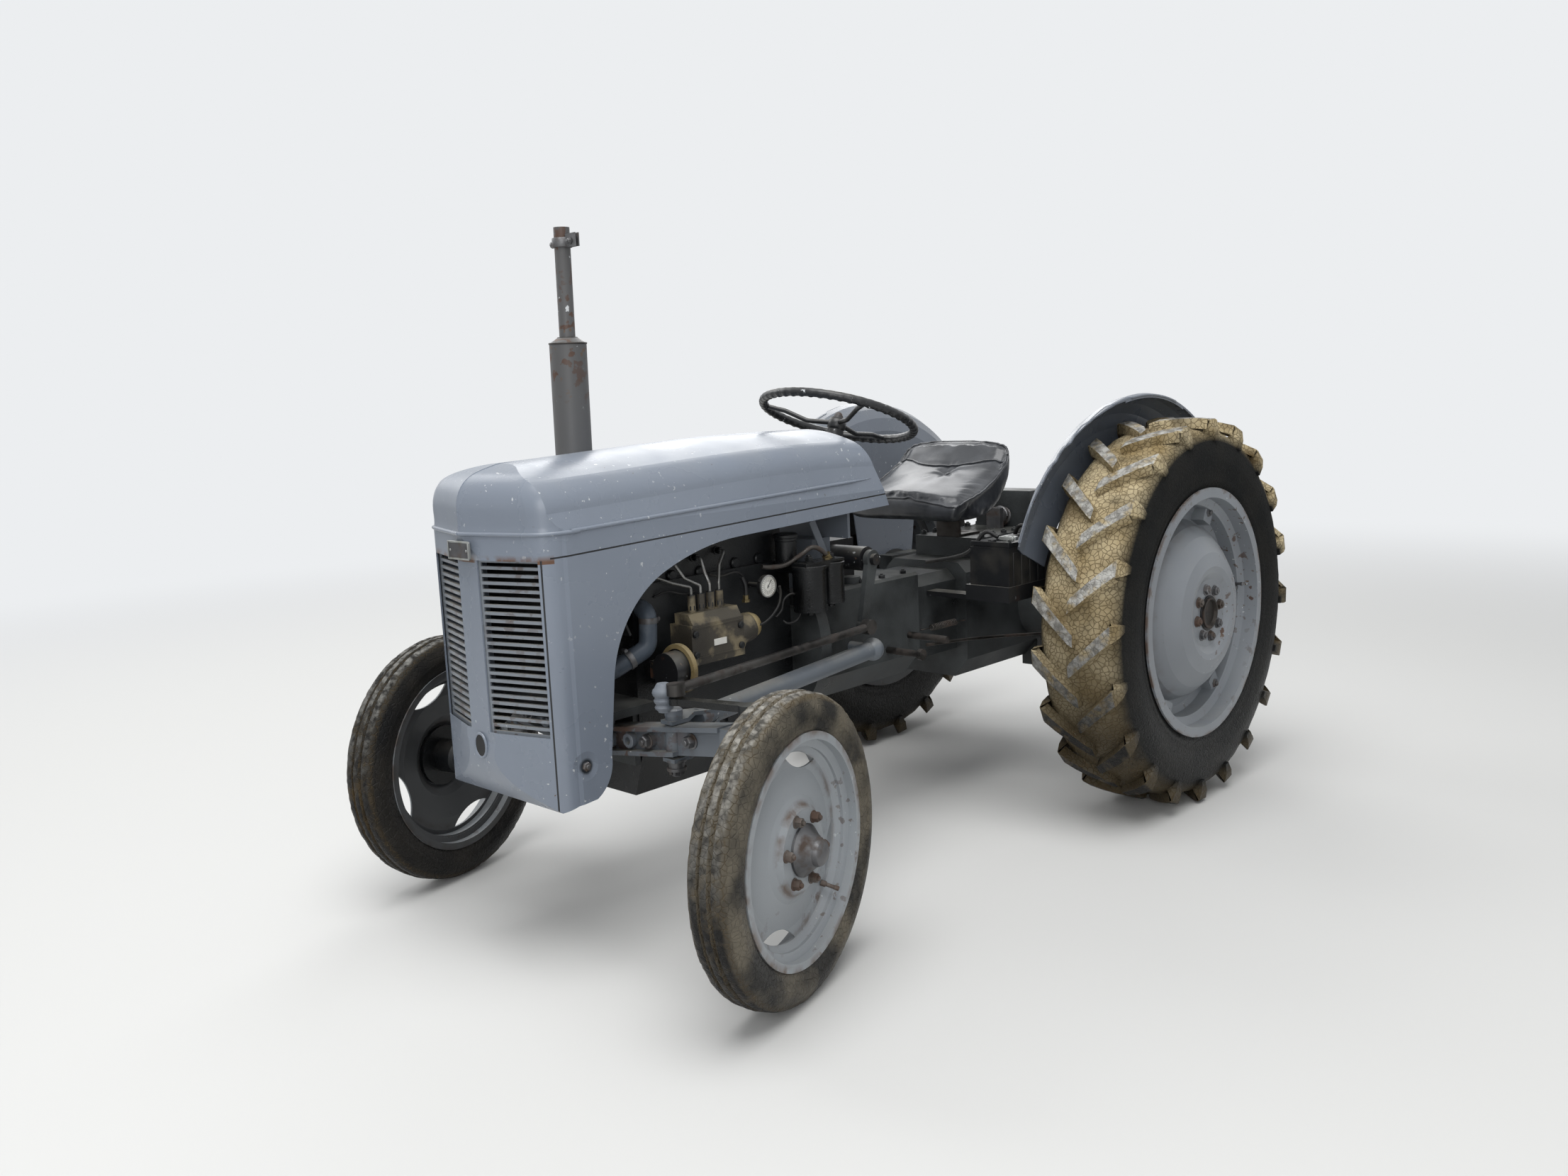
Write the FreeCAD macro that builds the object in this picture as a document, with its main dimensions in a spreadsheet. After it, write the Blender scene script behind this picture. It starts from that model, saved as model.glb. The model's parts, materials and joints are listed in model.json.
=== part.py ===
import FreeCAD, Part
import math
import os
import Sketcher
from FreeCAD import Placement, Rotation, Vector

# Farm tractor. The front kingpins stand at y = 0, y grows to the rear and +x is the tractor's left.
# Every piece is drawn in that frame and carries one placement that moves it to the origin, which is
# on the ground under the middle of the overall length. Lengths are in mm and angles in degrees.

# Each row: name, value, what it measures
SIZES = (
    ("wheelbase", 1778, "kingpins to rear axle, 70 in"),
    ("datum_y", 1109.4, "kingpins to the middle of the overall length"),
    ("steer_rest", 14.4, "angle of the front wheels to the left, as parked"),
    ("run_gap", 0.3, "gap between a moving face and the face that it runs on"),
    ("pass_gap", 6, "least gap where one moving piece passes another"),

    ("kingpin_x", 557, "kingpin from the centreline"),
    ("wheel_offset", 84, "kingpin to the middle of the front tyre"),
    ("front_tyre_tall", 87, "front tyre outside the rim flange, 4.00-19"),
    ("front_tyre_half", 56, "half of the front tyre's width"),
    ("front_tread_half", 42, "half of the front tread"),
    ("front_rib", 9, "half width of the middle rib"),
    ("front_groove", 9, "depth of the grooves between the ribs"),
    ("front_flange_r", 257, "front rim flange"),
    ("front_rim_half", 48, "half of the front rim's width"),
    ("front_flange_tall", 13, "front rim flange above its bead seat"),
    ("front_well_deep", 18, "well of the front rim below its bead seat"),
    ("front_rim_wall", 5, "front rim and disc metal"),
    ("front_disc_x", 2, "edge of the disc outward of the tyre's middle"),
    ("front_dish", 36, "raised ring under the nuts outward of the disc's edge"),
    ("front_dish_r", 94, "raised ring of the front disc"),
    ("crescent_r", 190.6, "middle of the crescent holes"),
    ("crescent_half", 17, "half of the crescent's height"),
    ("crescent_angle", 40, "sweep of each crescent"),
    ("crescent_turn", 72, "first crescent from level, tractor parked"),
    ("front_hub_r", 46, "front hub barrel"),
    ("front_hub_flange_r", 84, "front hub flange"),
    ("front_cap_r", 29, "front hub cap"),
    ("front_cone_r", 57, "foot of the hub's cone"),
    ("spindle_r", 16, "stub axle"),
    ("kingpin_r", 14, "kingpin"),
    ("sleeve_r", 21, "kingpin sleeve of the axle arm"),
    ("sleeve_rise", 54, "lower end of the kingpin sleeve above the front axle"),
    ("sleeve_long", 204, "kingpin sleeve"),
    ("steer_arm", 186, "kingpin to the front ball"),
    ("steer_arm_rise", 38, "steering arm above the sleeve"),
    ("steer_arm_thick", 15, "steering arm"),

    ("beam_z", 493, "middle height of the axle beam at the centre pin"),
    ("beam_slope", 8.2, "rise of the axle beam toward its ends"),
    ("beam_tall", 70, "height of the beam"),
    ("beam_deep", 58, "beam flanges, front to rear"),
    ("beam_web", 12, "beam web"),
    ("beam_flange", 11, "beam flange"),
    ("beam_half", 333, "half length of the middle beam"),
    ("arm_bar", 20, "thickness of the bolted axle arm"),
    ("arm_start_x", 222, "inner end of the axle arm"),
    ("arm_end_x", 486, "outer end of the arm's full section"),
    ("rod_pin_x", 311, "boss and pin of the radius rod on the beam"),
    ("boss_r", 22, "boss of the radius rod's pin"),
    ("rod_front_z", 572, "front end of the radius rod"),
    ("strap", 9, "strap of the radius rod"),

    ("rod_rear_y", 788, "rear ball of the radius rod"),
    ("rod_rear_x", 250, "rear balls from the centreline"),
    ("rod_rear_z", 603, "rear ball of the radius rod"),
    ("rod_r", 24, "radius rod tube"),
    ("drop_pivot_y", 809, "cross shaft of the steering box"),
    ("drop_pivot_z", 851, "cross shaft of the steering box"),
    ("drop_arm_x", 238, "middle of the drop arm"),
    ("drop_arm_thick", 16, "drop arm"),
    ("link_r", 11, "drag link bar"),
    ("link_eye_r", 21, "drag link ball housing"),
    ("link_eye_long", 26, "height of the ball housing"),

    ("bonnet_half_front", 232, "bonnet half width at the front corners"),
    ("bonnet_half_rear", 228, "bonnet half width at the rear"),
    ("bonnet_lean", 12, "how far the sides lean in above the bead"),
    ("bonnet_rear_y", 907, "rear lower corner of the bonnet"),
    ("bonnet_rear_tilt", 23, "rear edge forward from upright"),
    ("bonnet_wall", 4, "bonnet sheet with its rolled edge"),
    ("bonnet_top_front", 1190, "crown above the radiator"),
    ("bonnet_top_mid", 1213, "crown at its highest"),
    ("bonnet_top_rear", 1203, "crown at the rear edge"),
    ("bonnet_corner_r", 75, "rounding of the upper corners"),
    ("crown_slope", 23, "slope of the crown where it meets the corners"),
    ("nose_corner_r", 58, "rounding of the front corners, in plan"),
    ("nose_y", 331, "prow ahead of the kingpins, at the bead"),
    ("nose_face_y", 314, "grille face ahead of the kingpins"),
    ("nose_sweep", 68, "how far the front corners lie behind the prow"),
    ("nose_bead_z", 1037, "bead above the grille"),
    ("skirt_low_z", 970, "bottom edge of the side skirt, front"),
    ("skirt_rear_z", 991, "bottom edge of the side skirt, rear"),
    ("pan_low_z", 412, "bottom of the lower pan"),
    ("hinge_y", 198, "hinge bolts ahead of the kingpins"),
    ("hinge_z", 509, "hinge bolts"),
    ("hinge_bolt_r", 9, "hinge bolt"),
    ("grille_low_z", 584, "bottom of the grille openings"),
    ("grille_top_z", 978, "top of the grille openings"),
    ("grille_in_x", 38, "half width of the centre bar"),
    ("grille_out_x", 204, "outer edge of the grille openings"),
    ("grille_bars", 22, "bars in each panel"),
    ("grille_bar_tall", 7, "height of a bar"),
    ("grille_bar_deep", 9, "depth of a bar"),

    ("radiator_half", 186, "half width of the radiator"),
    ("radiator_front_y", 152, "radiator face ahead of the kingpins"),
    ("radiator_rear_y", 84, "radiator back ahead of the kingpins"),
    ("radiator_low_z", 600, "foot of the radiator"),
    ("radiator_top_z", 1112, "top tank"),
    ("platform", 20, "plate under the radiator"),
    ("support_half", 118, "half width of the front support"),
    ("support_low_z", 432, "bottom of the front support"),
    ("pivot_r", 19, "centre pivot of the axle"),
    ("ear_x", 193, "middle of the hinge ear"),
    ("ear_thick", 14, "hinge ear"),

    ("engine_front_y", 52, "front of the engine"),
    ("engine_rear_y", 600, "rear of the engine"),
    ("block_half", 122, "half width of the block"),
    ("block_low_z", 505, "joint of block and sump"),
    ("block_top_z", 872, "top of the block"),
    ("head_top_z", 962, "top of the cylinder head"),
    ("head_half", 106, "half width of the head"),
    ("cover_top_z", 1034, "top of the rocker cover"),
    ("cover_half", 78, "half width of the rocker cover"),
    ("sump_low_z", 345, "bottom of the sump"),
    ("sump_half", 84, "half width of the sump's floor"),

    ("pump_y", 168, "front of the injection pump"),
    ("pump_long", 178, "injection pump without its governor"),
    ("pump_low_z", 664, "underside of the injection pump"),
    ("pump_tall", 126, "injection pump without its outlets"),
    ("pump_deep", 78, "injection pump, out from the block"),
    ("outlet_pitch", 31.5, "outlets of the injection pump"),
    ("pipe_line_r", 4, "injector pipes"),
    ("filter_y", 576, "middle of the front filter bowl"),
    ("filter_low_z", 742, "underside of the front filter bowl"),
    ("filter_top_z", 868, "top of the filter bracket"),
    ("gauge_y", 449, "round gauge"),
    ("gauge_z", 823, "round gauge"),
    ("gauge_r", 29, "round gauge"),
    ("dynamo_z", 664, "drum on the left of the block"),
    ("bell_r", 232, "bell housing flange"),
    ("bell_z", 640, "middle of the bell housing"),
    ("bell_top_z", 736, "flat top of the bell housing flange"),
    ("box_front_y", 640, "front of the gearbox casing"),
    ("waist_long", 260, "waist between the gearbox casing and the centre housing"),
    ("box_half", 172, "half width of the gearbox casing"),
    ("box_top_z", 772, "top of the gearbox casing"),
    ("box_low_z", 462, "bottom of the gearbox casing"),
    ("waist_half", 118, "half width of the casing behind the gearbox"),
    ("centre_ahead", 418, "front of the centre housing ahead of the rear axle"),
    ("centre_back", 134, "back of the centre housing behind the rear axle"),
    ("centre_half", 158, "half width of the centre housing"),
    ("centre_low_z", 398, "bottom of the centre housing"),
    ("centre_top_z", 764, "top of the centre housing"),
    ("cover_plate", 62, "height of the lift cover"),
    ("cover_ahead", 298, "front of the lift cover ahead of the rear axle"),

    ("rear_tyre_r", 594, "rear tyre over its lugs, 10-28"),
    ("rear_carcass_r", 565, "rear tyre between its lugs"),
    ("rear_tyre_half", 138, "half of the rear tyre's width"),
    ("rear_centre_x", 626, "middle of the rear tyre from the centreline"),
    ("lug_count", 20, "lugs on each side"),
    ("lug_thick", 30, "lug at its tip"),
    ("lug_rake", 43, "lug angle to the axle"),
    ("rear_flange_r", 381, "rear rim flange"),
    ("rear_rim_half", 129, "half of the rear rim's width"),
    ("rear_seat_r", 358, "bead seat of the rear rim"),
    ("rear_well_r", 334, "well of the rear rim"),
    ("rear_rim_wall", 7, "rear rim and disc metal"),
    ("dome_x", 144, "highest ring of the dome outward of the tyre's middle"),
    ("dome_r", 143, "radius of the dome's highest ring"),
    ("dome_edge_x", 22, "disc edge outward of the tyre's middle"),
    ("dome_edge_r", 318, "outer edge of the disc"),
    ("dome_foot_x", 36, "foot of the dome outward of the tyre's middle"),
    ("dome_foot_r", 277, "foot of the dome"),
    ("dome_shoulder_x", 100, "shoulder of the dome outward of the tyre's middle"),
    ("dome_shoulder_r", 231, "shoulder of the dome"),
    ("dome_seat_x", 128, "bolting face of the disc"),
    ("dome_seat_r", 104, "bolting face of the disc"),
    ("drum_r", 186, "brake drum"),
    ("drum_wide", 72, "brake drum"),
    ("rear_hub_r", 58, "rear hub"),
    ("cup_r", 47, "open cup at the middle of the rear hub"),
    ("rim_lug", 26, "half width of a rim lug"),
    ("half_shaft_r", 24, "half shaft"),
    ("half_shaft_in", 70, "half shaft inside the trumpet's end"),
    ("trumpet_end_x", 536, "outer end of the axle trumpet"),
    ("trumpet_big_r", 132, "axle trumpet at the housing"),
    ("trumpet_small_r", 66, "axle trumpet at its outer end"),
    ("backplate_r", 176, "brake backplate"),

    ("guard_r", 678, "mudguard crown"),
    ("guard_ahead", 45, "middle of the mudguard's curve ahead of the rear axle"),
    ("guard_drop", 8, "middle of the mudguard's curve below the rear axle"),
    ("guard_inner_x", 462, "mudguard inner plate"),
    ("guard_outer_x", 576, "mudguard outer edge at its top"),
    ("guard_end_x", 492, "mudguard outer edge at its front end"),
    ("guard_wall", 4, "mudguard sheet"),
    ("guard_front", 155, "front end of the mudguard, above the rear level"),
    ("guard_rear", 28, "rear end of the mudguard, above the rear level"),
    ("guard_plate_r", 452, "lower edge of the inner plate"),

    ("column_y", 964, "steering wheel hub"),
    ("column_z", 1231, "steering wheel hub"),
    ("column_tilt", 20.4, "column back from upright"),
    ("column_r", 24, "steering column"),
    ("wheel_r", 224, "steering wheel, middle of the rim"),
    ("wheel_rim_r", 12, "steering wheel rim"),
    ("spoke_r", 7, "steering wheel spoke"),

    ("exhaust_x", 300, "upright exhaust from the centreline"),
    ("exhaust_y", 228, "upright exhaust"),
    ("silencer_r", 49, "silencer"),
    ("dash_y", 764, "front of the dash panel"),
    ("dash_plate", 10, "dash panel"),
    ("silencer_low_z", 1075, "silencer"),
    ("silencer_top_z", 1470, "silencer"),
    ("exhaust_lean", 8, "lean of the silencer to the left over its length"),
    ("pipe_r", 21, "exhaust pipe"),
    ("pipe_long", 295, "exhaust pipe above the silencer"),

    ("lift_back", 72, "cross shaft of the lift behind the rear axle"),
    ("lift_z", 905, "cross shaft of the lift"),
    ("lift_shaft_r", 28, "cross shaft of the lift"),
    ("lift_arm", 240, "lift arm, shaft to pin"),
    ("lift_arm_down", 16.6, "lift arm below level, as parked"),
    ("lift_arm_x", 196, "middle of the lift arm"),
    ("lift_arm_thick", 20, "lift arm"),
    ("lower_back", 22, "front pins of the lower links behind the rear axle"),
    ("lower_z", 400, "front pins of the lower links"),
    ("lower_front_x", 245, "front pins of the lower links"),
    ("lower_rear_x", 400, "rear balls of the lower links"),
    ("lower_long", 744, "lower links, front pin to rear ball, seen from above"),
    ("lower_thick", 22, "lower link"),
    ("lower_tall", 56, "lower link"),
    ("lower_eye_r", 32, "ball socket of the lower link"),
    ("lower_bore_r", 11.1, "category 1 lower pin hole"),
    ("lift_point", 350, "lift rod's hole along the lower link"),
    ("lift_rod_r", 13, "lift rod"),
    ("spring_r", 34, "control spring"),
    ("spring_ahead", 62, "middle of the control spring ahead of the rear axle"),
    ("spring_z", 864, "middle of the control spring"),
    ("spring_long", 150, "control spring"),
    ("top_bore_r", 9.6, "category 1 top pin hole"),
    ("top_pin_back", 174, "top link pin behind the rear axle"),
    ("top_pin_z", 838, "top link pin"),
    ("shaft_z", 548, "power take-off shaft"),
    ("shaft_r", 14.3, "power take-off shaft, 1-1/8 in"),
    ("shaft_long", 76, "full-size end of the power take-off shaft"),
    ("shaft_neck", 8, "undercut ahead of the shaft's end"),
    ("shaft_step", 4, "journal of the shaft above its end, and its end above the undercut"),
    ("shaft_cap", 30, "bearing cap of the shaft"),

    ("battery_x", 326, "battery, inner side"),
    ("battery_wide", 134, "battery"),
    ("battery_ahead", 628, "front of the battery ahead of the rear axle"),
    ("battery_long", 240, "battery"),
    ("battery_z", 706, "battery, bottom"),
    ("battery_tall", 158, "battery"),
    ("tray_wall", 10, "battery tray"),

    ("seat_ahead", 564, "front edge of the seat ahead of the rear axle"),
    ("seat_long", 372, "seat, front to rear"),
    ("seat_strap_half", 45, "half width of the plate that carries the seat"),
    ("seat_half", 240, "half width of the seat"),
    ("seat_low_z", 905, "underside of the seat"),
    ("seat_front_z", 985, "front edge of the seat"),
    ("seat_back_z", 1150, "back rim of the seat"),
)


class Size(float):
    """A number from the sheet, with the expression that gives it."""

    def __new__(cls, value, text):
        size = float.__new__(cls, value)
        size.text = text
        return size

    def __add__(self, other):
        return Size(float(self) + float(other), f"({self.text} + {text_of(other)})")

    def __radd__(self, other):
        return Size(float(other) + float(self), f"({text_of(other)} + {self.text})")

    def __sub__(self, other):
        return Size(float(self) - float(other), f"({self.text} - {text_of(other)})")

    def __rsub__(self, other):
        return Size(float(other) - float(self), f"({text_of(other)} - {self.text})")

    def __mul__(self, other):
        return Size(float(self) * float(other), f"({self.text} * {text_of(other)})")

    def __rmul__(self, other):
        return Size(float(other) * float(self), f"({text_of(other)} * {self.text})")

    def __truediv__(self, other):
        return Size(float(self) / float(other), f"({self.text} / {text_of(other)})")

    def __neg__(self):
        return Size(-float(self), f"(0 - {self.text})")


def text_of(value):
    if isinstance(value, Size):
        return value.text
    return repr(float(value))


doc = FreeCAD.newDocument("tractor")
sheet = doc.addObject("Spreadsheet::Sheet", "sizes")
for row, (alias, value, meaning) in enumerate(SIZES, start=1):
    sheet.set(f"A{row}", alias)
    sheet.set(f"B{row}", str(value))
    sheet.set(f"C{row}", meaning)
    sheet.setAlias(f"B{row}", alias)
doc.recompute()


class Sizes:
    """Reads a size from the sheet by its name."""

    def __getattr__(self, alias):
        return Size(float(sheet.get(alias)), f"sizes.{alias}")


s = Sizes()
NODES = {}

# Places that follow from the sizes
front_tyre_r = s.front_flange_r + s.front_tyre_tall
front_seat_r = s.front_flange_r - s.front_flange_tall
front_well_r = front_seat_r - s.front_well_deep
sleeve_low_z = front_tyre_r + s.sleeve_rise
sleeve_top_z = sleeve_low_z + s.sleeve_long
steer_arm_z = sleeve_top_z + s.steer_arm_rise
centre_front_y = s.wheelbase - s.centre_ahead
centre_rear_y = s.wheelbase + s.centre_back
box_rear_y = centre_front_y - s.waist_long
cover_front_y = s.wheelbase - s.cover_ahead
pipe_top_z = s.silencer_top_z + s.pipe_long
lift_y = s.wheelbase + s.lift_back
lower_y = s.wheelbase + s.lower_back
lower_rear_y = lower_y + s.lower_long
spring_y = s.wheelbase - s.spring_ahead
top_pin_y = s.wheelbase + s.top_pin_back
battery_y = s.wheelbase - s.battery_ahead
seat_front_y = s.wheelbase - s.seat_ahead
seat_rear_y = seat_front_y + s.seat_long


def bind(feature, prop, value):
    """Sets a property, by an expression where the value comes from the sheet."""
    if isinstance(value, Size):
        feature.setExpression(prop, value.text)
    elif not prop.startswith("Placement"):
        setattr(feature, prop, value)


def place(feature, position, turn=0.0, axis=Vector(0, 0, 1)):
    """Puts a sub-part in the tractor's frame, shifted to the origin."""
    x, y, z = position
    y = y - s.datum_y
    feature.Placement = Placement(Vector(float(x), float(y), float(z)), Rotation(axis, float(turn)))
    for letter, value in (("x", x), ("y", y), ("z", z)):
        bind(feature, f"Placement.Base.{letter}", value)


def node(name, feature):
    feature.Label = name
    NODES[name] = feature
    return feature


def keep(name, shape, position=(0, 0, 0), turn=0.0, axis=Vector(0, 0, 1)):
    """A sub-part whose form is worked out in this file."""
    feature = doc.addObject("Part::Feature", name)
    feature.Shape = shape
    place(feature, position, turn, axis)
    return node(name, feature)


def vec(x, y, z):
    return Vector(float(x), float(y), float(z))


def block(x0, x1, y0, y1, z0, z1):
    return Part.makeBox(float(x1) - float(x0), float(y1) - float(y0), float(z1) - float(z0), vec(x0, y0, z0))


def rod(start, end, radius, end_radius=None):
    """A round bar, or a taper, from one point to another."""
    start, end = vec(*start), vec(*end)
    along = end - start
    if end_radius is None:
        return Part.makeCylinder(float(radius), along.Length, start, along)
    return Part.makeCone(float(radius), float(end_radius), along.Length, start, along)


def join(shapes):
    shapes = list(shapes)
    return shapes[0].multiFuse(shapes[1:]).removeSplitter() if len(shapes) > 1 else shapes[0]


def slab(points, axis, low, high):
    """A plate with a straight-sided outline, between two planes across an axis."""
    low, high = float(low), float(high)
    corners = []
    for a, b in points:
        corner = {"x": vec(low, a, b), "y": vec(a, low, b), "z": vec(a, b, low)}[axis]
        corners.append(corner)
    face = Part.Face(Part.makePolygon(corners + corners[:1]))
    along = {"x": vec(high - low, 0, 0), "y": vec(0, high - low, 0), "z": vec(0, 0, high - low)}[axis]
    return face.extrude(along)


def route(points, radius, bend):
    """A round tube along straight runs joined by tangent arcs."""
    points = [vec(*point) for point in points]
    edges = []
    here = points[0]
    for before, corner, after in zip(points, points[1:], points[2:]):
        into = (corner - before).normalize()
        out = (after - corner).normalize()
        half_turn = into.getAngle(out) / 2
        back = float(bend) * math.tan(half_turn)
        start = corner - into * back
        end = corner + out * back
        inward = (out - into).normalize()
        middle = corner + inward * (float(bend) / math.cos(half_turn) - float(bend))
        edges.append(Part.LineSegment(here, start).toShape())
        edges.append(Part.Arc(start, middle, end).toShape())
        here = end
    edges.append(Part.LineSegment(here, points[-1]).toShape())
    path = Part.Wire(edges)
    ring = Part.Wire(Part.makeCircle(float(radius), points[0], points[1] - points[0]))
    return path.makePipeShell([ring], True, False)


def mirror_x(shape):
    return shape.mirror(Vector(0, 0, 0), Vector(1, 0, 0))


def origin_plane(body, role):
    return next(plane for plane in body.Origin.OriginFeatures if plane.Role == role)


def outline(body, name, points, role="XY_Plane"):
    """A closed sketch whose corners are held by their distances from the origin."""
    sketch = body.newObject("Sketcher::SketchObject", name)
    sketch.AttachmentSupport = (origin_plane(body, role), [""])
    sketch.MapMode = "FlatFace"
    corners = [vec(x, y, 0) for x, y in points]
    ends = corners[1:] + corners[:1]
    sketch.addGeometry([Part.LineSegment(start, end) for start, end in zip(corners, ends)], False)
    for index in range(len(points)):
        follower = (index + 1) % len(points)
        sketch.addConstraint(Sketcher.Constraint("Coincident", index, 2, follower, 1))
    for index, corner in enumerate(points):
        for kind, value in zip(("DistanceX", "DistanceY"), corner):
            number = sketch.addConstraint(Sketcher.Constraint(kind, -1, 1, index, 1, float(value)))
            if isinstance(value, Size):
                sketch.setExpression(f"Constraints[{number}]", value.text)
    return sketch


def turned(body, name, points, feature="PartDesign::Revolution"):
    """A turned form: points are (along the axle, radius)."""
    sketch = outline(body, name + "_section", points)
    turn = body.newObject(feature, name)
    turn.Profile = sketch
    turn.ReferenceAxis = (sketch, ["H_Axis"])
    turn.Angle = 360
    sketch.Visibility = False
    body.Tip = turn
    return turn


def sine(angle):
    return Size(math.sin(math.radians(angle)), f"sin({text_of(angle)})")


def cosine(angle):
    return Size(math.cos(math.radians(angle)), f"cos({text_of(angle)})")


def arc(start, middle, end):
    return Part.Arc(vec(*start), vec(*middle), vec(*end)).toShape()


def line(start, end):
    return Part.LineSegment(vec(*start), vec(*end)).toShape()


def section_wire(y, half, top, wall):
    """Upright cross-section of the bonnet: sides, round corners and a crown."""
    slope = math.radians(s.crown_slope)
    radius = s.bonnet_corner_r - wall
    low = s.pan_low_z - 60
    half = half - wall
    top = top - wall
    shoulder_x = half - s.bonnet_lean
    join_x = shoulder_x - radius * (1 - math.sin(slope))
    join_z = top - join_x * math.tan(slope / 2)
    shoulder_z = join_z - radius * math.cos(slope)
    middle = (math.pi / 2 - slope) / 2
    mid_x = shoulder_x - radius + radius * math.cos(middle)
    mid_z = shoulder_z + radius * math.sin(middle)
    bead = s.nose_bead_z
    edges = [line((-half, y, low), (-half, y, bead)),
             line((-half, y, bead), (-shoulder_x, y, shoulder_z)),
             arc((-shoulder_x, y, shoulder_z), (-mid_x, y, mid_z), (-join_x, y, join_z)),
             arc((-join_x, y, join_z), (0, y, top), (join_x, y, join_z)),
             arc((join_x, y, join_z), (mid_x, y, mid_z), (shoulder_x, y, shoulder_z)),
             line((shoulder_x, y, shoulder_z), (half, y, bead)),
             line((half, y, bead), (half, y, low)),
             line((half, y, low), (-half, y, low))]
    return Part.Wire(edges)


def bonnet_hull(wall):
    stations = ((-s.nose_y - 20, s.bonnet_half_front, s.bonnet_top_front - 8),
                (s.engine_front_y, s.bonnet_half_front, s.bonnet_top_front + 6),
                (s.engine_rear_y, s.bonnet_half_rear, s.bonnet_top_mid),
                (s.bonnet_rear_y + 20, s.bonnet_half_rear, s.bonnet_top_rear))
    return Part.makeLoft([section_wire(y, half, top, wall) for y, half, top in stations], True, False)


# Rows of the nose above the bead: height above it, how far the prow lies back, rounding of the corners
NOSE_ROWS = ((0, 0, 0), (42, 1, 6), (84, 6, 22), (106, 18, 42), (122, 36, 66), (133, 60, 92), (142, 92, 116),
             (150, 130, 136), (160, 185, 150), (172, 240, 160))


def prow_plan(z, back, rounding, wall):
    """Plan of the nose at one height: two faces swept back from the prow, with round corners."""
    half = s.bonnet_half_front - 2 - wall
    slope = math.atan(s.nose_sweep / s.bonnet_half_front)
    apex = -s.nose_y + back
    corner_y = apex + half * math.tan(slope)
    radius = s.nose_corner_r + rounding - wall
    turn = (math.pi / 2 - slope) / 2
    reach = radius * math.tan(turn)
    start = (half - reach * math.cos(slope), corner_y - reach * math.sin(slope))
    end = (half, corner_y + reach)
    middle = (half - radius + radius * math.cos(turn), end[1] - radius * math.sin(turn))
    rear = s.bonnet_rear_y + 60
    flare = half + 16
    flare_y = end[1] + 60
    return Part.Wire([line((0, apex, z), (start[0], start[1], z)),
                      arc((start[0], start[1], z), (middle[0], middle[1], z), (end[0], end[1], z)),
                      line((end[0], end[1], z), (flare, flare_y, z)),
                      line((flare, flare_y, z), (flare, rear, z)),
                      line((flare, rear, z), (-flare, rear, z)),
                      line((-flare, rear, z), (-flare, flare_y, z)),
                      line((-flare, flare_y, z), (-end[0], end[1], z)),
                      arc((-end[0], end[1], z), (-middle[0], middle[1], z), (-start[0], start[1], z)),
                      line((-start[0], start[1], z), (0, apex, z))])


def prow(wall):
    """Upright below the bead, and rounded back into the crown above it."""
    bead = s.nose_bead_z
    low = s.pan_low_z - 80
    ahead = wall / math.cos(math.atan(s.nose_sweep / s.bonnet_half_front))
    upright = Part.Face(prow_plan(low, ahead, 0, wall)).extrude(vec(0, 0, bead - low))
    plans = []
    for before, row in zip(NOSE_ROWS[:1] + NOSE_ROWS, NOSE_ROWS):
        lean = math.atan2(row[1] - before[1], row[0] - before[0])
        plans.append(prow_plan(bead + row[0] - wall * math.sin(lean), row[1] + ahead * math.cos(lean), row[2], wall))
    return upright.fuse(Part.makeLoft(plans, True, False)).removeSplitter()


def side_profile(wall, open_below):
    """Side view of the bonnet: nose, slanted rear edge, skirt and the arch over the engine."""
    face = -s.nose_face_y + wall
    side = -s.bonnet_half_front - 40
    high = s.bonnet_top_mid + 60
    rear_top = s.bonnet_rear_y - (high - s.skirt_rear_z) * math.tan(math.radians(s.bonnet_rear_tilt))
    low = s.pan_low_z
    nose = -s.nose_y + wall
    bead = s.nose_bead_z
    edges = [arc((side, face + 56, low), (side, face + 14, low + 52), (side, face, low + 148)),
             line((side, face, low + 148), (side, face, s.grille_top_z)),
             line((side, face, s.grille_top_z), (side, nose, bead)),
             line((side, nose, bead), (side, nose - 30, bead)),
             line((side, nose - 30, bead), (side, nose - 30, high))]
    if open_below:
        rear = s.bonnet_rear_y + 40
        corners = [(nose - 30, high), (rear, high), (rear, low - 40), (face + 56, low - 40), (face + 56, low)]
        for start, end in zip(corners, corners[1:]):
            edges.append(line((side,) + start, (side,) + end))
    else:
        arch = s.skirt_low_z
        edges += [line((side, nose - 30, high), (side, rear_top, high)),
                  line((side, rear_top, high), (side, s.bonnet_rear_y, s.skirt_rear_z)),
                  line((side, s.bonnet_rear_y, s.skirt_rear_z), (side, 323, arch)),
                  arc((side, 323, arch), (side, 186, arch - 17), (side, 77, arch - 51)),
                  arc((side, 77, arch - 51), (side, -30, arch - 123), (side, -101, arch - 267)),
                  line((side, -101, arch - 267), (side, -124, low + 104)),
                  arc((side, -124, low + 104), (side, -140, low + 42), (side, -172, low + 14)),
                  line((side, -172, low + 14), (side, -222, low + 10)),
                  line((side, -222, low + 10), (side, face + 56, low))]
    return Part.Face(Part.Wire(edges)).extrude(vec(-2 * side, 0, 0))


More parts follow.
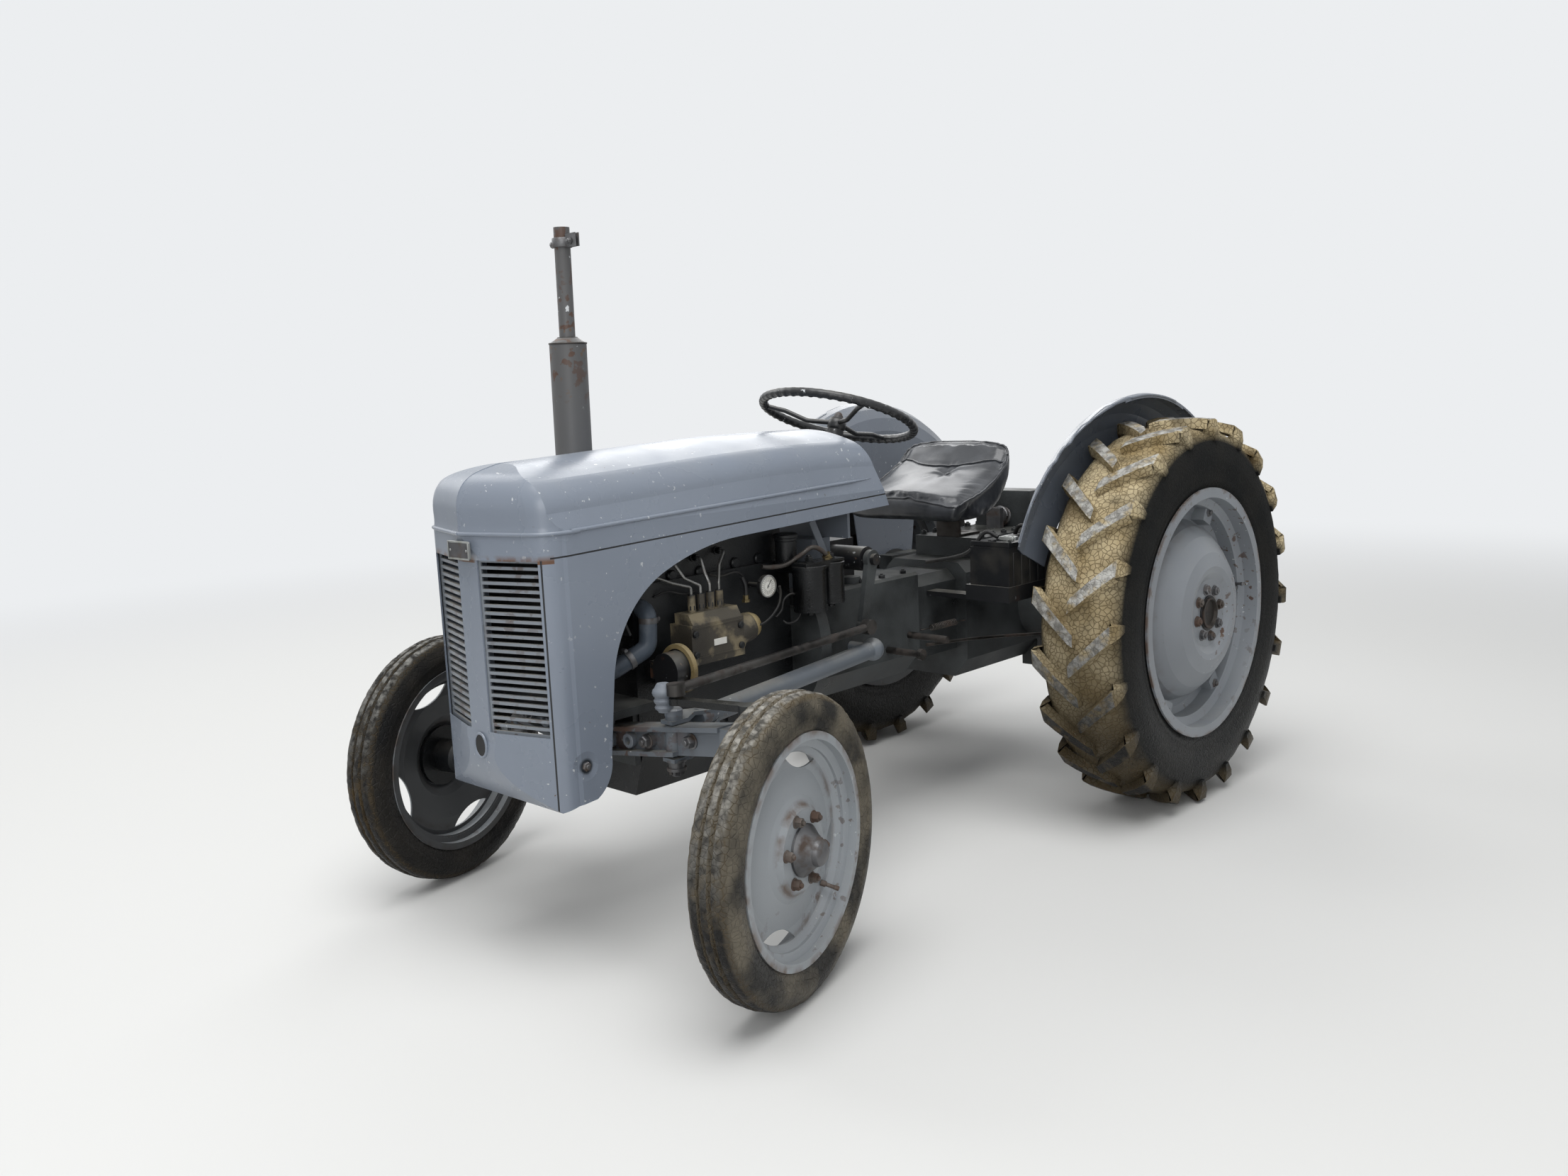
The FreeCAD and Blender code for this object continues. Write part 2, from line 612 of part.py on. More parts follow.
def bonnet():
    skin = bonnet_hull(0).common(prow(0)).common(side_profile(0, False))
    inside = bonnet_hull(s.bonnet_wall).common(prow(s.bonnet_wall)).common(side_profile(s.bonnet_wall, True))
    shell = skin.cut(inside)
    for sign in (1, -1):
        xs = sorted((sign * s.grille_in_x, sign * s.grille_out_x))
        window = block(xs[0], xs[1], -s.nose_y - 40, -s.nose_y + s.nose_sweep + 52, s.grille_low_z, s.grille_top_z)
        shell = shell.cut(window)
        hole = rod((sign * (s.bonnet_half_front - 30), -s.hinge_y, s.hinge_z),
                   (sign * (s.bonnet_half_front + 10), -s.hinge_y, s.hinge_z), s.hinge_bolt_r + s.run_gap)
        shell = shell.cut(hole)
    return keep("bonnet", shell)


def grille():
    """Two panels of level bars in frames, set back behind the openings."""
    slope = math.atan(s.nose_sweep / s.bonnet_half_front)
    frame = 10
    wide = (s.grille_out_x - s.grille_in_x) / math.cos(slope)
    tall = s.grille_top_z - s.grille_low_z
    depth = s.grille_bar_deep
    panel = block(-frame / 2, wide + frame / 2, 0, 5, -frame / 2, tall + frame / 2)
    panel = panel.cut(block(frame / 2, wide - frame / 2, -1, 6, frame / 2, tall - frame / 2))
    pitch = tall / (s.grille_bars + 1)
    bars = []
    for number in range(1, int(s.grille_bars) + 1):
        middle = number * pitch
        bars.append(block(0, wide, 0, depth, middle - s.grille_bar_tall / 2, middle + s.grille_bar_tall / 2))
    panel = join([panel] + bars)
    recess = 11.5
    panel.rotate(Vector(0, 0, 0), Vector(0, 0, 1), math.degrees(slope))
    start_y = -s.nose_y + s.grille_in_x * math.tan(slope) + recess
    panel.translate(vec(s.grille_in_x, start_y, s.grille_low_z))
    return keep("grille", Part.Compound([panel, mirror_x(panel)]))


def radiator():
    half, low, top = s.radiator_half, s.radiator_low_z, s.radiator_top_z
    front, rear = -s.radiator_front_y, -s.radiator_rear_y
    tank = 62
    core = block(-half + 10, half - 10, front + 8, rear - 8, low + 40, top - tank)
    foot = block(-half, half, front, rear, low, low + 40)
    head = block(-half, half, front, rear, top - tank, top)
    edges = [edge for edge in head.Edges if abs(edge.BoundBox.ZMin - float(top)) < 0.01]
    head = head.makeFillet(18, edges)
    neck = rod((0, (front + rear) / 2, top - 5), (0, (front + rear) / 2, top + 22), 24)
    return keep("radiator", join([core, foot, head, neck]))


def front_support():
    """Casting under the radiator: it carries the axle on its centre pin and the bonnet on two ears."""
    half, low = s.support_half, s.support_low_z
    deck_top = s.radiator_low_z
    deck_low = deck_top - s.platform
    slot = s.beam_deep / 2 + s.pass_gap
    deck = block(-s.radiator_half, s.radiator_half, -s.radiator_front_y, s.engine_front_y, deck_low, deck_top)
    front = block(-half * 0.6, half * 0.6, -slot - 24, -slot, low + 20, deck_low)
    rear = block(-half, half, slot, s.engine_front_y, low, deck_low)
    pin = rod((0, -slot - 30, s.beam_z), (0, slot + 10, s.beam_z), s.pivot_r)
    shape = join([deck, front, rear, pin])
    for sign in (1, -1):
        ear = slab([(-s.radiator_rear_y, deck_low + 2), (-s.radiator_rear_y - 10, deck_low - 26),
                    (-s.hinge_y + 8, s.hinge_z - 20), (-s.hinge_y - 18, s.hinge_z - 10),
                    (-s.hinge_y - 18, s.hinge_z + 12), (-s.radiator_front_y + 4, deck_low + 2)],
                   "x", sign * s.ear_x - s.ear_thick / 2, sign * s.ear_x + s.ear_thick / 2)
        arm = block(min(sign * (s.radiator_half - 20), sign * (s.ear_x + s.ear_thick / 2)),
                    max(sign * (s.radiator_half - 20), sign * (s.ear_x + s.ear_thick / 2)),
                    -s.radiator_front_y, -s.radiator_rear_y, deck_low, deck_top)
        bolt = rod((sign * s.ear_x, -s.hinge_y, s.hinge_z),
                   (sign * (s.bonnet_half_front + 4), -s.hinge_y, s.hinge_z), s.hinge_bolt_r)
        shape = join([shape, ear, arm, bolt])
    return keep("front_support", shape)


def beam_mid(x):
    """Middle height of the front axle, which rises toward its ends."""
    return s.beam_z + x * math.tan(math.radians(s.beam_slope))


def beam_bar(x0, x1, low, high, front, rear):
    """A bar along the rising axle, given by its place about the middle line."""
    return slab([(x0, beam_mid(x0) + low), (x1, beam_mid(x1) + low), (x1, beam_mid(x1) + high),
                 (x0, beam_mid(x0) + high)], "y", front, rear)


def axle_beam():
    """Middle beam of the front axle: an I section with three bolt bosses and the radius rod's boss a side."""
    deep, tall, web = s.beam_deep / 2, s.beam_tall / 2, s.beam_web / 2
    flange, end = s.beam_flange, s.beam_half
    bosses = (92, 166, 237)
    half = [beam_bar(0, end, -tall, -tall + flange, -deep, deep),
            beam_bar(0, end, tall - flange, tall, -deep, deep),
            beam_bar(0, end, -tall, tall, -web, web),
            rod((s.rod_pin_x, 0, beam_mid(s.rod_pin_x) - tall - 2), (s.rod_pin_x, 0, beam_mid(s.rod_pin_x) + tall + 2),
                s.boss_r)]
    half += [rod((x, -web - 14, beam_mid(x)), (x, 0, beam_mid(x)), 17) for x in bosses]
    half = join(half)
    half = half.cut(beam_bar(s.arm_start_x - 6, end + 5, -tall + flange, tall - flange, web, deep + 5))
    for x in bosses[:2]:
        half = half.cut(rod((x, -deep, beam_mid(x)), (x, deep, beam_mid(x)), 9))
    pin = rod((s.rod_pin_x, 0, beam_mid(s.rod_pin_x) - tall - 48), (s.rod_pin_x, 0, beam_mid(s.rod_pin_x) - tall + 5), 11)
    nut = rod((s.rod_pin_x, 0, beam_mid(s.rod_pin_x) - tall - 36),
              (s.rod_pin_x, 0, beam_mid(s.rod_pin_x) - tall - s.strap - 4), 19)
    half = join([half, pin, nut])
    boss = rod((0, -deep, s.beam_z), (0, deep, s.beam_z), s.pivot_r + 18)
    shape = join([half, mirror_x(half), boss])
    shape = shape.cut(rod((0, -deep - 5, s.beam_z), (0, deep + 5, s.beam_z), s.pivot_r + s.run_gap))
    return keep("axle_beam", shape)


def axle_arms():
    """Two forged arms bolted behind the beam's web, each ending in a kingpin sleeve."""
    rear = s.beam_web / 2 + s.run_gap
    inner = s.beam_tall / 2 - s.beam_flange - s.run_gap
    deep, tall = s.beam_deep / 2, s.beam_tall / 2
    start = s.beam_half + s.run_gap
    tongue = beam_bar(s.arm_start_x, start + 20, -inner, inner, rear, rear + s.arm_bar)
    body = beam_bar(start, s.arm_end_x, -tall, tall, -s.beam_web, s.arm_bar + rear)
    cap = beam_bar(start, s.arm_end_x, tall - s.beam_flange, tall, -deep, deep)
    neck_z = beam_mid(s.arm_end_x)
    neck = slab([(s.arm_end_x - 2, -22), (s.kingpin_x, -14), (s.kingpin_x, 14), (s.arm_end_x - 2, 22)],
                "z", neck_z - tall + 6, neck_z + tall - 4)
    sleeve = rod((s.kingpin_x, 0, sleeve_low_z), (s.kingpin_x, 0, sleeve_top_z), s.sleeve_r)
    arm = join([tongue, body, cap, neck, sleeve])
    arm = arm.cut(rod((s.kingpin_x, 0, sleeve_low_z - 5), (s.kingpin_x, 0, sleeve_top_z + 5),
                      s.kingpin_r + s.run_gap))
    return keep("axle_arms", Part.Compound([arm, mirror_x(arm)]))


def knuckle(sign, side):
    """Kingpin, stub axle and steering arm, which turn together, drawn straight ahead."""
    low = sleeve_low_z - s.run_gap - front_tyre_r
    high = steer_arm_z + s.steer_arm_thick - front_tyre_r
    boss_r = s.sleeve_r + 1
    pin = rod((0, 0, -20), (0, 0, high), s.kingpin_r)
    boss = rod((0, 0, -32), (0, 0, low), boss_r + 3)
    stub = rod((0, 0, 0), (sign * (s.wheel_offset + 32), 0, 0), s.spindle_r)
    collar = rod((0, 0, 0), (sign * (boss_r + 7), 0, 0), s.spindle_r + 8)
    arm_low = steer_arm_z - front_tyre_r
    clamp = rod((0, 0, sleeve_top_z + s.run_gap - front_tyre_r), (0, 0, high), boss_r)
    arm = slab([(0, -16), (-sign * s.steer_arm, -12), (-sign * s.steer_arm, 12), (0, 16)], "z", arm_low, high)
    tip = rod((-sign * s.steer_arm, 0, arm_low), (-sign * s.steer_arm, 0, high), 17)
    shape = join([pin, boss, stub, collar, clamp, arm, tip])
    return keep(f"knuckle_{side}", shape, (sign * s.kingpin_x, 0, front_tyre_r), s.steer_rest)


def wheel_place(body, sign):
    """Puts a front wheel's piece, drawn about the x axis, on its stub axle."""
    turn = s.steer_rest if sign > 0 else s.steer_rest + 180
    x = sign * (s.kingpin_x + s.wheel_offset * cosine(s.steer_rest))
    y = sign * s.wheel_offset * sine(s.steer_rest)
    place(body, (x, y, front_tyre_r), turn)


def front_hub(sign, side):
    body = doc.addObject("PartDesign::Body", f"front_hub_{side}")
    inner = -s.wheel_offset + s.sleeve_r + 14
    ring = s.front_disc_x + s.front_dish
    flange = ring - s.front_rim_wall - s.run_gap
    bore = s.spindle_r + s.run_gap
    turned(body, "barrel", [(inner, bore), (inner, s.front_hub_r - 6), (inner + 12, s.front_hub_r),
                            (flange - 12, s.front_hub_r), (flange - 12, s.front_hub_flange_r),
                            (flange, s.front_hub_flange_r), (flange, s.front_cone_r), (ring + 5, s.front_cone_r),
                            (ring + 30, s.front_cap_r + 4), (ring + 33, s.front_cap_r), (ring + 46, s.front_cap_r - 6),
                            (ring + 50, s.front_cap_r - 16), (ring + 51, 0), (ring + 30, 0), (ring + 30, bore)])
    wheel_place(body, sign)
    return node(f"front_hub_{side}", body)


def front_wheel(sign, side):
    """Pressed wheel: drop-centre rim and a dished disc with four crescent holes."""
    half, wall = s.front_rim_half, s.front_rim_wall
    seat, well, flange = front_seat_r, front_well_r, s.front_flange_r
    disc = s.front_disc_x
    top = disc + s.front_dish
    hole = s.front_cone_r + s.run_gap
    ring = s.front_dish_r
    shape = ring_shape([
        (-half, flange), (-half + wall, flange), (-half + wall, seat), (-half + 18, seat), (-half + 24, well),
        (half - 24, well), (half - 18, seat), (half - wall, seat), (half - wall, flange), (half, flange),
        (half, seat - wall), (half - 20, seat - wall), (half - 26, well - wall), (disc + wall + 8, well - wall),
        (disc + 1, well - wall - 14), (disc + 1, well - wall - 44), (disc + 15, ring + 24), (top - 12, ring + 7),
        (top, ring - 4), (top, hole), (top - wall, hole), (top - wall, ring - 9), (top - 16, ring + 3),
        (disc + 10, ring + 20), (disc - 4, well - wall - 46), (disc - 4, well - wall - 12), (disc, well - wall),
        (-half + 26, well - wall), (-half + 20, seat - wall), (-half, seat - wall)])
    shape.rotate(Vector(0, 0, 0), Vector(1, 0, 0), float(s.crescent_turn) - 45)
    inner, outer = s.crescent_r - s.crescent_half, s.crescent_r + s.crescent_half
    sweep = math.radians(s.crescent_angle / 2)
    rise = outer * math.cos(sweep) - inner
    lens_r = ((outer * math.sin(sweep)) ** 2 + rise ** 2) / (2 * rise)
    lens = rod((disc - 20, 0, inner + lens_r), (disc + 40, 0, inner + lens_r), lens_r)
    lens = lens.common(rod((disc - 20, 0, 0), (disc + 40, 0, 0), outer))
    for number in range(4):
        crescent = lens.copy()
        crescent.rotate(Vector(0, 0, 0), Vector(1, 0, 0), float(s.crescent_turn) - 90 + 90 * number)
        shape = shape.cut(crescent)
    feature = keep(f"front_wheel_{side}", shape)
    wheel_place(feature, sign)
    return feature


def front_tyre(sign, side):
    """Three-rib tyre, as one ring closed on its rim."""
    body = doc.addObject("PartDesign::Body", f"front_tyre_{side}")
    outer, half, tread = front_tyre_r, s.front_tyre_half, s.front_tread_half
    groove, rib = s.front_groove, s.front_rib
    gap = s.run_gap
    seat_half = s.front_rim_half - s.front_rim_wall - gap
    seat = front_seat_r + gap
    flange = s.front_flange_r
    turned(body, "carcass", [
        (-seat_half, seat), (-seat_half, flange + 6), (-half + 3, flange + 22), (-half, flange + 42),
        (-half + 3, outer - 26), (-tread, outer - 8), (-tread + 14, outer - 4), (-rib - 9, outer - 3),
        (-rib - 6, outer - groove), (-rib - 2, outer - groove), (-rib, outer), (rib, outer),
        (rib + 2, outer - groove), (rib + 6, outer - groove), (rib + 9, outer - 3), (tread - 14, outer - 4),
        (tread, outer - 8), (half - 3, outer - 26), (half, flange + 42), (half - 3, flange + 22),
        (seat_half, flange + 6), (seat_half, seat)])
    wheel_place(body, sign)
    return node(f"front_tyre_{side}", body)


def ball_y(sign):
    """Front ball's place behind the kingpins, which is also the drop arm's swing."""
    return -sign * s.steer_arm * sine(s.steer_rest)


def ball_x(sign):
    return sign * (s.kingpin_x - s.steer_arm * cosine(s.steer_rest))


def drop_arm(sign, side):
    """Arm on the steering box's cross shaft, with the drag link's ball at its lower end."""
    x = sign * s.drop_arm_x
    half = s.drop_arm_thick / 2
    low_y = s.drop_pivot_y + ball_y(sign)
    low_z = s.drop_pivot_z - s.steer_arm * cosine(s.steer_rest)
    along = (low_y - s.drop_pivot_y, low_z - s.drop_pivot_z)
    across = (along[1] / s.steer_arm, -along[0] / s.steer_arm)
    blade = slab([(s.drop_pivot_y + across[0] * 20, s.drop_pivot_z + across[1] * 20),
                  (low_y + across[0] * 14, low_z + across[1] * 14),
                  (low_y - across[0] * 14, low_z - across[1] * 14),
                  (s.drop_pivot_y - across[0] * 20, s.drop_pivot_z - across[1] * 20)], "x", x - half, x + half)
    top = rod((x - half, s.drop_pivot_y, s.drop_pivot_z), (x + half, s.drop_pivot_y, s.drop_pivot_z), 26)
    tip = rod((x - half, low_y, low_z), (x + half, low_y, low_z), 18)
    shape = join([blade, top, tip])
    shape = shape.cut(rod((x - 40, s.drop_pivot_y, s.drop_pivot_z), (x + 40, s.drop_pivot_y, s.drop_pivot_z),
                          shaft_r() + s.run_gap))
    return keep(f"drop_arm_{side}", shape)


def shaft_r():
    return s.column_r - 8


def drag_link(sign, side):
    """Bar from the drop arm to the steering arm, with a ball housing at each end."""
    face = s.drop_arm_x + s.drop_arm_thick / 2 + s.run_gap
    rear = (sign * (face + s.link_eye_r * 0.6), s.drop_pivot_y + ball_y(sign),
            s.drop_pivot_z - s.steer_arm * cosine(s.steer_rest))
    front_z = steer_arm_z + s.steer_arm_thick + s.pass_gap + 0.5 + s.link_eye_long / 2
    front = (ball_x(sign), ball_y(sign), front_z)
    housing = rod((sign * face, rear[1], rear[2]), (sign * (face + s.link_eye_long), rear[1], rear[2]), s.link_eye_r)
    eye = rod((front[0], front[1], front_z - s.link_eye_long / 2), (front[0], front[1], front_z + s.link_eye_long / 2),
              s.link_eye_r)
    return keep(f"drag_link_{side}", join([rod(rear, front, s.link_r), housing, eye]))


def radius_rods():
    """Two tubes that brace the axle from the gearbox casing, each forked over its boss on the beam."""
    x = s.rod_pin_x
    half = s.boss_r - 2
    rear = (s.rod_rear_x, s.rod_rear_y, s.rod_rear_z)
    front = (x, s.beam_deep / 2 + 42, s.rod_front_z)
    high = beam_mid(x + half) + s.beam_tall / 2 + 2 + s.run_gap
    low = beam_mid(x - half) - s.beam_tall / 2 - 2 - s.run_gap
    deep = s.beam_deep / 2
    joint = s.rod_front_z
    upper = slab([(-deep + 6, high), (deep, high), (deep + 20, high + 10), (deep + 44, high + 6),
                  (deep + 96, joint + 6), (deep + 96, joint + 6 + s.strap), (deep + 48, high + 6 + s.strap),
                  (deep + 16, high + 10 + s.strap), (deep - 4, high + s.strap), (-deep + 6, high + s.strap)],
                 "x", x - half, x + half)
    lower = slab([(-deep + 6, low), (-deep + 6, low - s.strap), (deep + 6, low - s.strap), (deep + 96, joint - 16),
                  (deep + 96, joint - 6), (deep + 2, low)], "x", x - half, x + half)
    boss = rod((x, 0, high + s.strap - 1), (x, 0, high + s.strap + 18), half)
    hole = rod((x, 0, low - 60), (x, 0, low + 5), 11 + s.run_gap)
    tube = rod(front, rear, s.rod_r)
    ball = Part.makeSphere(float(s.rod_r) + 8, vec(*rear))
    stud = rod((s.box_half + s.run_gap, rear[1], rear[2]), (s.rod_rear_x, rear[1], rear[2]), 15)
    shape = join([upper, lower, boss, tube, ball, stud]).cut(hole)
    return keep("radius_rods", Part.Compound([shape, mirror_x(shape)]))


def engine_block():
    """Block, head and sump of the open engine."""
    front, rear = s.engine_front_y, s.engine_rear_y
    body = block(-s.block_half, s.block_half, front, rear, s.block_low_z, s.block_top_z)
    head = block(-s.head_half, s.head_half, front + 8, rear - 12, s.block_top_z, s.head_top_z)
    sump = slab([(-s.block_half, s.block_low_z), (s.block_half, s.block_low_z),
                 (s.block_half, s.block_low_z - 40), (s.sump_half, s.sump_low_z),
                 (-s.sump_half, s.sump_low_z), (-s.block_half, s.block_low_z - 40)],
                "y", front + s.pass_gap, rear)
    return keep("engine_block", join([body, head, sump]))


def rocker_cover():
    low, top, half = s.head_top_z, s.cover_top_z, s.cover_half
    cover = slab([(-half - 8, low), (half + 8, low), (half + 8, low + 10), (half, low + 10), (half, top - 24),
                  (half - 22, top), (-half + 22, top), (-half, top - 24), (-half, low + 10), (-half - 8, low + 10)],
                 "y", s.engine_front_y + 20, s.engine_rear_y - 30)
    return keep("rocker_cover", cover)


def outlet_y(number):
    return s.pump_y + 40 + s.outlet_pitch * number


def injection_pump():
    """In-line pump on the left of the block, with its governor and four outlets."""
    face, front, low = s.block_half, s.pump_y, s.pump_low_z
    rear = front + s.pump_long
    top = low + s.pump_tall
    middle = face + s.pump_deep / 2
    body = block(face, face + s.pump_deep, front, rear, low, top - 26)
    head = slab([(face + 12, top - 26), (face + s.pump_deep, top - 26), (face + s.pump_deep - 16, top),
                 (face + 12, top)], "y", front + 6, rear - 6)
    governor = rod((middle, rear, low + 50), (middle, rear + 52, low + 60), 38.5, 37)
    cap = rod((middle, rear + 52, low + 60), (middle, rear + 74, low + 62), 33, 27)
    outlets = [rod((middle, outlet_y(number), top), (middle, outlet_y(number), top + 42), 10) for number in range(4)]
    return keep("injection_pump", join([body, head, governor, cap] + outlets))


# Each injector pipe: places along the engine and heights of its bends, from its outlet to the head
PIPE_BENDS = (((0, 20), (-48, 36), (-90, 56)),
              ((0, 20), (-38, 42), (-57, 80)),
              ((0, 20), (-2, 50), (0, 84)),
              ((0, 20), (18, 62), (50, 92)))


def injector_pipes():
    """Four steel pipes from the pump's outlets to the side of the head."""
    top = s.pump_low_z + s.pump_tall + 42
    x = s.block_half + s.pump_deep / 2
    pipes = []
    for number, bends in enumerate(PIPE_BENDS):
        y = outlet_y(number)
        points = [(x, y, top + s.run_gap)]
        for (along, up), inward in zip(bends, (0, 14, 28)):
            points.append((x - inward, y + along, top + up))
        last_y, last_up = bends[-1]
        points.append((s.head_half + s.run_gap, y + last_y, top + last_up))
        pipes.append(route(points, s.pipe_line_r, 8))
    return keep("injector_pipes", Part.Compound(pipes))


def gauge():
    """Round gauge with a white face on a stalk beside the block."""
    x = s.block_half + 68
    y, z = s.gauge_y, s.gauge_z
    stalk = rod((s.block_half + s.run_gap, y, z), (x, y, z), 7)
    return keep("gauge", join([stalk, rod((x - 12, y, z), (x, y, z), s.gauge_r)]))


def fuel_filters():
    """Two filter bowls on a bracket, with a taller canister."""
    x = s.block_half + 98
    top = s.filter_top_z
    bracket = block(s.block_half, x + 10, s.filter_y - 24, s.filter_y + 20, top - 26, top)
    bowls = [rod((x, y, low), (x, y, top - 4), radius)
             for y, low, radius in ((s.filter_y, s.filter_low_z, 45), (s.filter_y + 84, s.filter_low_z + 11, 36))]
    bridge = block(x - 26, x + 26, s.filter_y - 40, s.filter_y + 112, top - 12, top + 4)
    canister = rod((s.block_half + 30, s.filter_y - 14, top - 2), (s.block_half + 30, s.filter_y - 14, top + 76), 28)
    return keep("fuel_filters", join([bracket, bridge, canister] + bowls))


def manifold():
    face = -s.head_half
    intake = block(face - 58, face, 110, 520, 886, 940)
    exhaust = block(face - 52, face, 90, 540, 876, 886)
    outlet = rod((face - 30, s.exhaust_y, 862), (face - 96, s.exhaust_y, 862), 27)
    log = block(face - 60, face, 130, 330, 838, 876)
    log = log.cut(block(-s.block_half, 0, 0, 700, 800, s.block_top_z))
    return keep("manifold", join([intake, exhaust, log, outlet]))


def exhaust():
    """Elbow from the manifold, silencer and upright pipe on the tractor's right."""
    start = (-s.head_half - 96 - s.run_gap, s.exhaust_y, 862)
    elbow = route([start, (-s.exhaust_x, s.exhaust_y, 862), (-s.exhaust_x, s.exhaust_y, s.silencer_low_z + 10)],
                  s.pipe_r + 2, 60)
    low, high = s.silencer_low_z, s.silencer_top_z
    lean = s.exhaust_lean / (high - low)

    def on_axis(z):
        return -s.exhaust_x + lean * (z - low), s.exhaust_y, z

    barrel = rod(on_axis(low), on_axis(high), s.silencer_r)
    cone = rod(on_axis(high - 1), on_axis(high + 14), s.silencer_r - 2, s.pipe_r + 4)
    foot = rod(on_axis(low - 14), on_axis(low + 1), s.pipe_r + 6, s.silencer_r - 2)
    pipe = rod(on_axis(high + 5), on_axis(pipe_top_z), s.pipe_r)
    bore = rod(on_axis(pipe_top_z - 60), on_axis(pipe_top_z + 5), s.pipe_r - 3)
    return keep("exhaust", join([elbow, foot, barrel, cone, pipe]).cut(bore))


def dynamo():
    """Drum on the left of the block with a flange and a cone at its rear end."""
    x, z = s.block_half + 62, s.dynamo_z
    front = s.engine_front_y + 38
    body = rod((x, front, z), (x, front + 42, z), 46)
    flange = rod((x, front + 42, z), (x, front + 50, z), 60)
    cone = rod((x, front + 50, z), (x, front + 60, z), 26, 24)
    tip = rod((x, front + 60, z), (x, front + 68, z), 15)
    bracket = block(s.block_half, x, front + 6, front + 40, z - 24, z + 20)
    return keep("dynamo", join([body, flange, cone, tip, bracket]))


def fan():
    """Cooling fan and its pulley ahead of the engine."""
    y = s.engine_front_y
    z = 800
    hub = rod((0, y - 60, z), (0, y - s.run_gap, z), 34)
    pulley = rod((0, y - 52, z), (0, y - 26, z), 62)
    blades = []
    for number in range(4):
        blade = block(-34, 34, y - 72, y - 66, 20, 178)
        blade.rotate(vec(0, y - 69, 100), Vector(0, 0, 1), 24)
        blade.rotate(Vector(0, 0, 0), Vector(0, 1, 0), 90 * number)
        blade.translate(vec(0, 0, z))
        blades.append(blade)
    nose = rod((0, y - 80, z), (0, y - 60, z), 30)
    return keep("fan", join([hub, pulley, nose] + blades))


def water_hoses():
    """Bent bottom hose on the left, from the radiator to the pump on the block."""
    low = route([(120, -s.radiator_rear_y + s.run_gap, 682), (124, -20, 682), (s.block_half + 26, 72, 724),
                 (s.block_half + 26, 78, 812), (s.block_half - 40, 78, 824)], 22, 30)
    low = low.cut(block(-s.block_half, s.block_half, s.engine_front_y, 700, 500, s.block_top_z))
    return keep("water_hoses", Part.Compound([low]))


def fuel_tank():
    """Tank over the rear of the engine, carried by the dash."""
    tank = slab([(-150, 1062), (150, 1062), (186, 1090), (186, 1130), (120, 1172), (-120, 1172), (-186, 1130),
                 (-186, 1090)], "y", 330, s.dash_y - s.run_gap)
    return keep("fuel_tank", tank)


def dash():
    """Cowl that carries the tank, the column and the instrument panel."""
    panel = slab([(-196, 912), (196, 912), (196, 1120), (150, 1162), (-150, 1162), (-196, 1120)],
                 "y", s.dash_y, s.dash_y + s.dash_plate)
    foot = block(-120, 120, s.dash_y - 64, s.dash_y + s.dash_plate, s.box_top_z, 912)
    return keep("dash", join([panel, foot]))


def steering_column():
    """Steering box on the gearbox casing, with the column and the cross shaft."""
    tilt = math.radians(s.column_tilt)
    up = (0, math.sin(tilt), math.cos(tilt))
    long = (s.column_z - s.drop_pivot_z) / math.cos(tilt) - 36
    top = (0, s.column_y - up[1] * 36, s.column_z - up[2] * 36)
    bottom = (0, s.column_y - up[1] * (long + 36), s.column_z - up[2] * (long + 36))
    case = block(-96, 96, s.drop_pivot_y - 30, s.drop_pivot_y + 92, s.box_top_z, s.drop_pivot_z + 44)
    end = s.drop_arm_x + s.drop_arm_thick / 2 + 12
    shaft = rod((-end, s.drop_pivot_y, s.drop_pivot_z), (end, s.drop_pivot_y, s.drop_pivot_z), shaft_r())
    boss = rod((-s.drop_arm_x + 14, s.drop_pivot_y, s.drop_pivot_z), (s.drop_arm_x - 14, s.drop_pivot_y, s.drop_pivot_z),
               34)
    column = rod(bottom, top, s.column_r)
    return keep("steering_column", join([case, shaft, boss, column]))


def steering_wheel():
    """Ring, three bent spokes and the hub, drawn level and tilted with the column."""
    ring = Part.makeTorus(float(s.wheel_r), float(s.wheel_rim_r), Vector(0, 0, 8))
    hub = rod((0, 0, -36 + s.run_gap), (0, 0, 0), s.column_r - 2)
    nut = rod((0, 0, 0), (0, 0, 16), 14, 9)
    spokes = []
    for number in range(3):
        spoke = route([(0, 0, -12), (s.wheel_r * 0.4, 0, -18), (s.wheel_r * 0.72, 0, 2), (s.wheel_r, 0, 8)],
                      s.spoke_r, 40)
        spoke.rotate(Vector(0, 0, 0), Vector(0, 0, 1), 90 + 120 * number)
        spokes.append(spoke)
    shape = join([ring, hub, nut] + spokes)
    return keep("steering_wheel", shape, (0, s.column_y, s.column_z), -s.column_tilt, Vector(1, 0, 0))


def gearbox():
    """Bell housing, gearbox casing and the waist behind it."""
    ring = rod((0, s.engine_rear_y, s.bell_z), (0, s.box_front_y, s.bell_z), s.bell_r)
    ring = ring.common(block(-300, 300, 500, 800, s.box_low_z - 40, s.bell_top_z))
    half, low, top = s.box_half, s.box_low_z, s.box_top_z
    case = slab([(-half, low + 70), (-half + 60, low), (half - 60, low), (half, low + 70), (half, top - 8),
                 (half - 8, top), (-half + 8, top), (-half, top - 8)], "y", s.box_front_y, box_rear_y)
    waist = slab([(-s.waist_half, low + 30), (s.waist_half, low + 30), (s.waist_half, top - 60),
                  (s.waist_half - 30, top - 30), (-s.waist_half + 30, top - 30), (-s.waist_half, top - 60)],
                 "y", box_rear_y, centre_front_y)
    cap = rod((half - 44, 850, top), (half - 44, 850, top + 18), 26)
    return keep("gearbox", join([ring, case, waist, cap]))


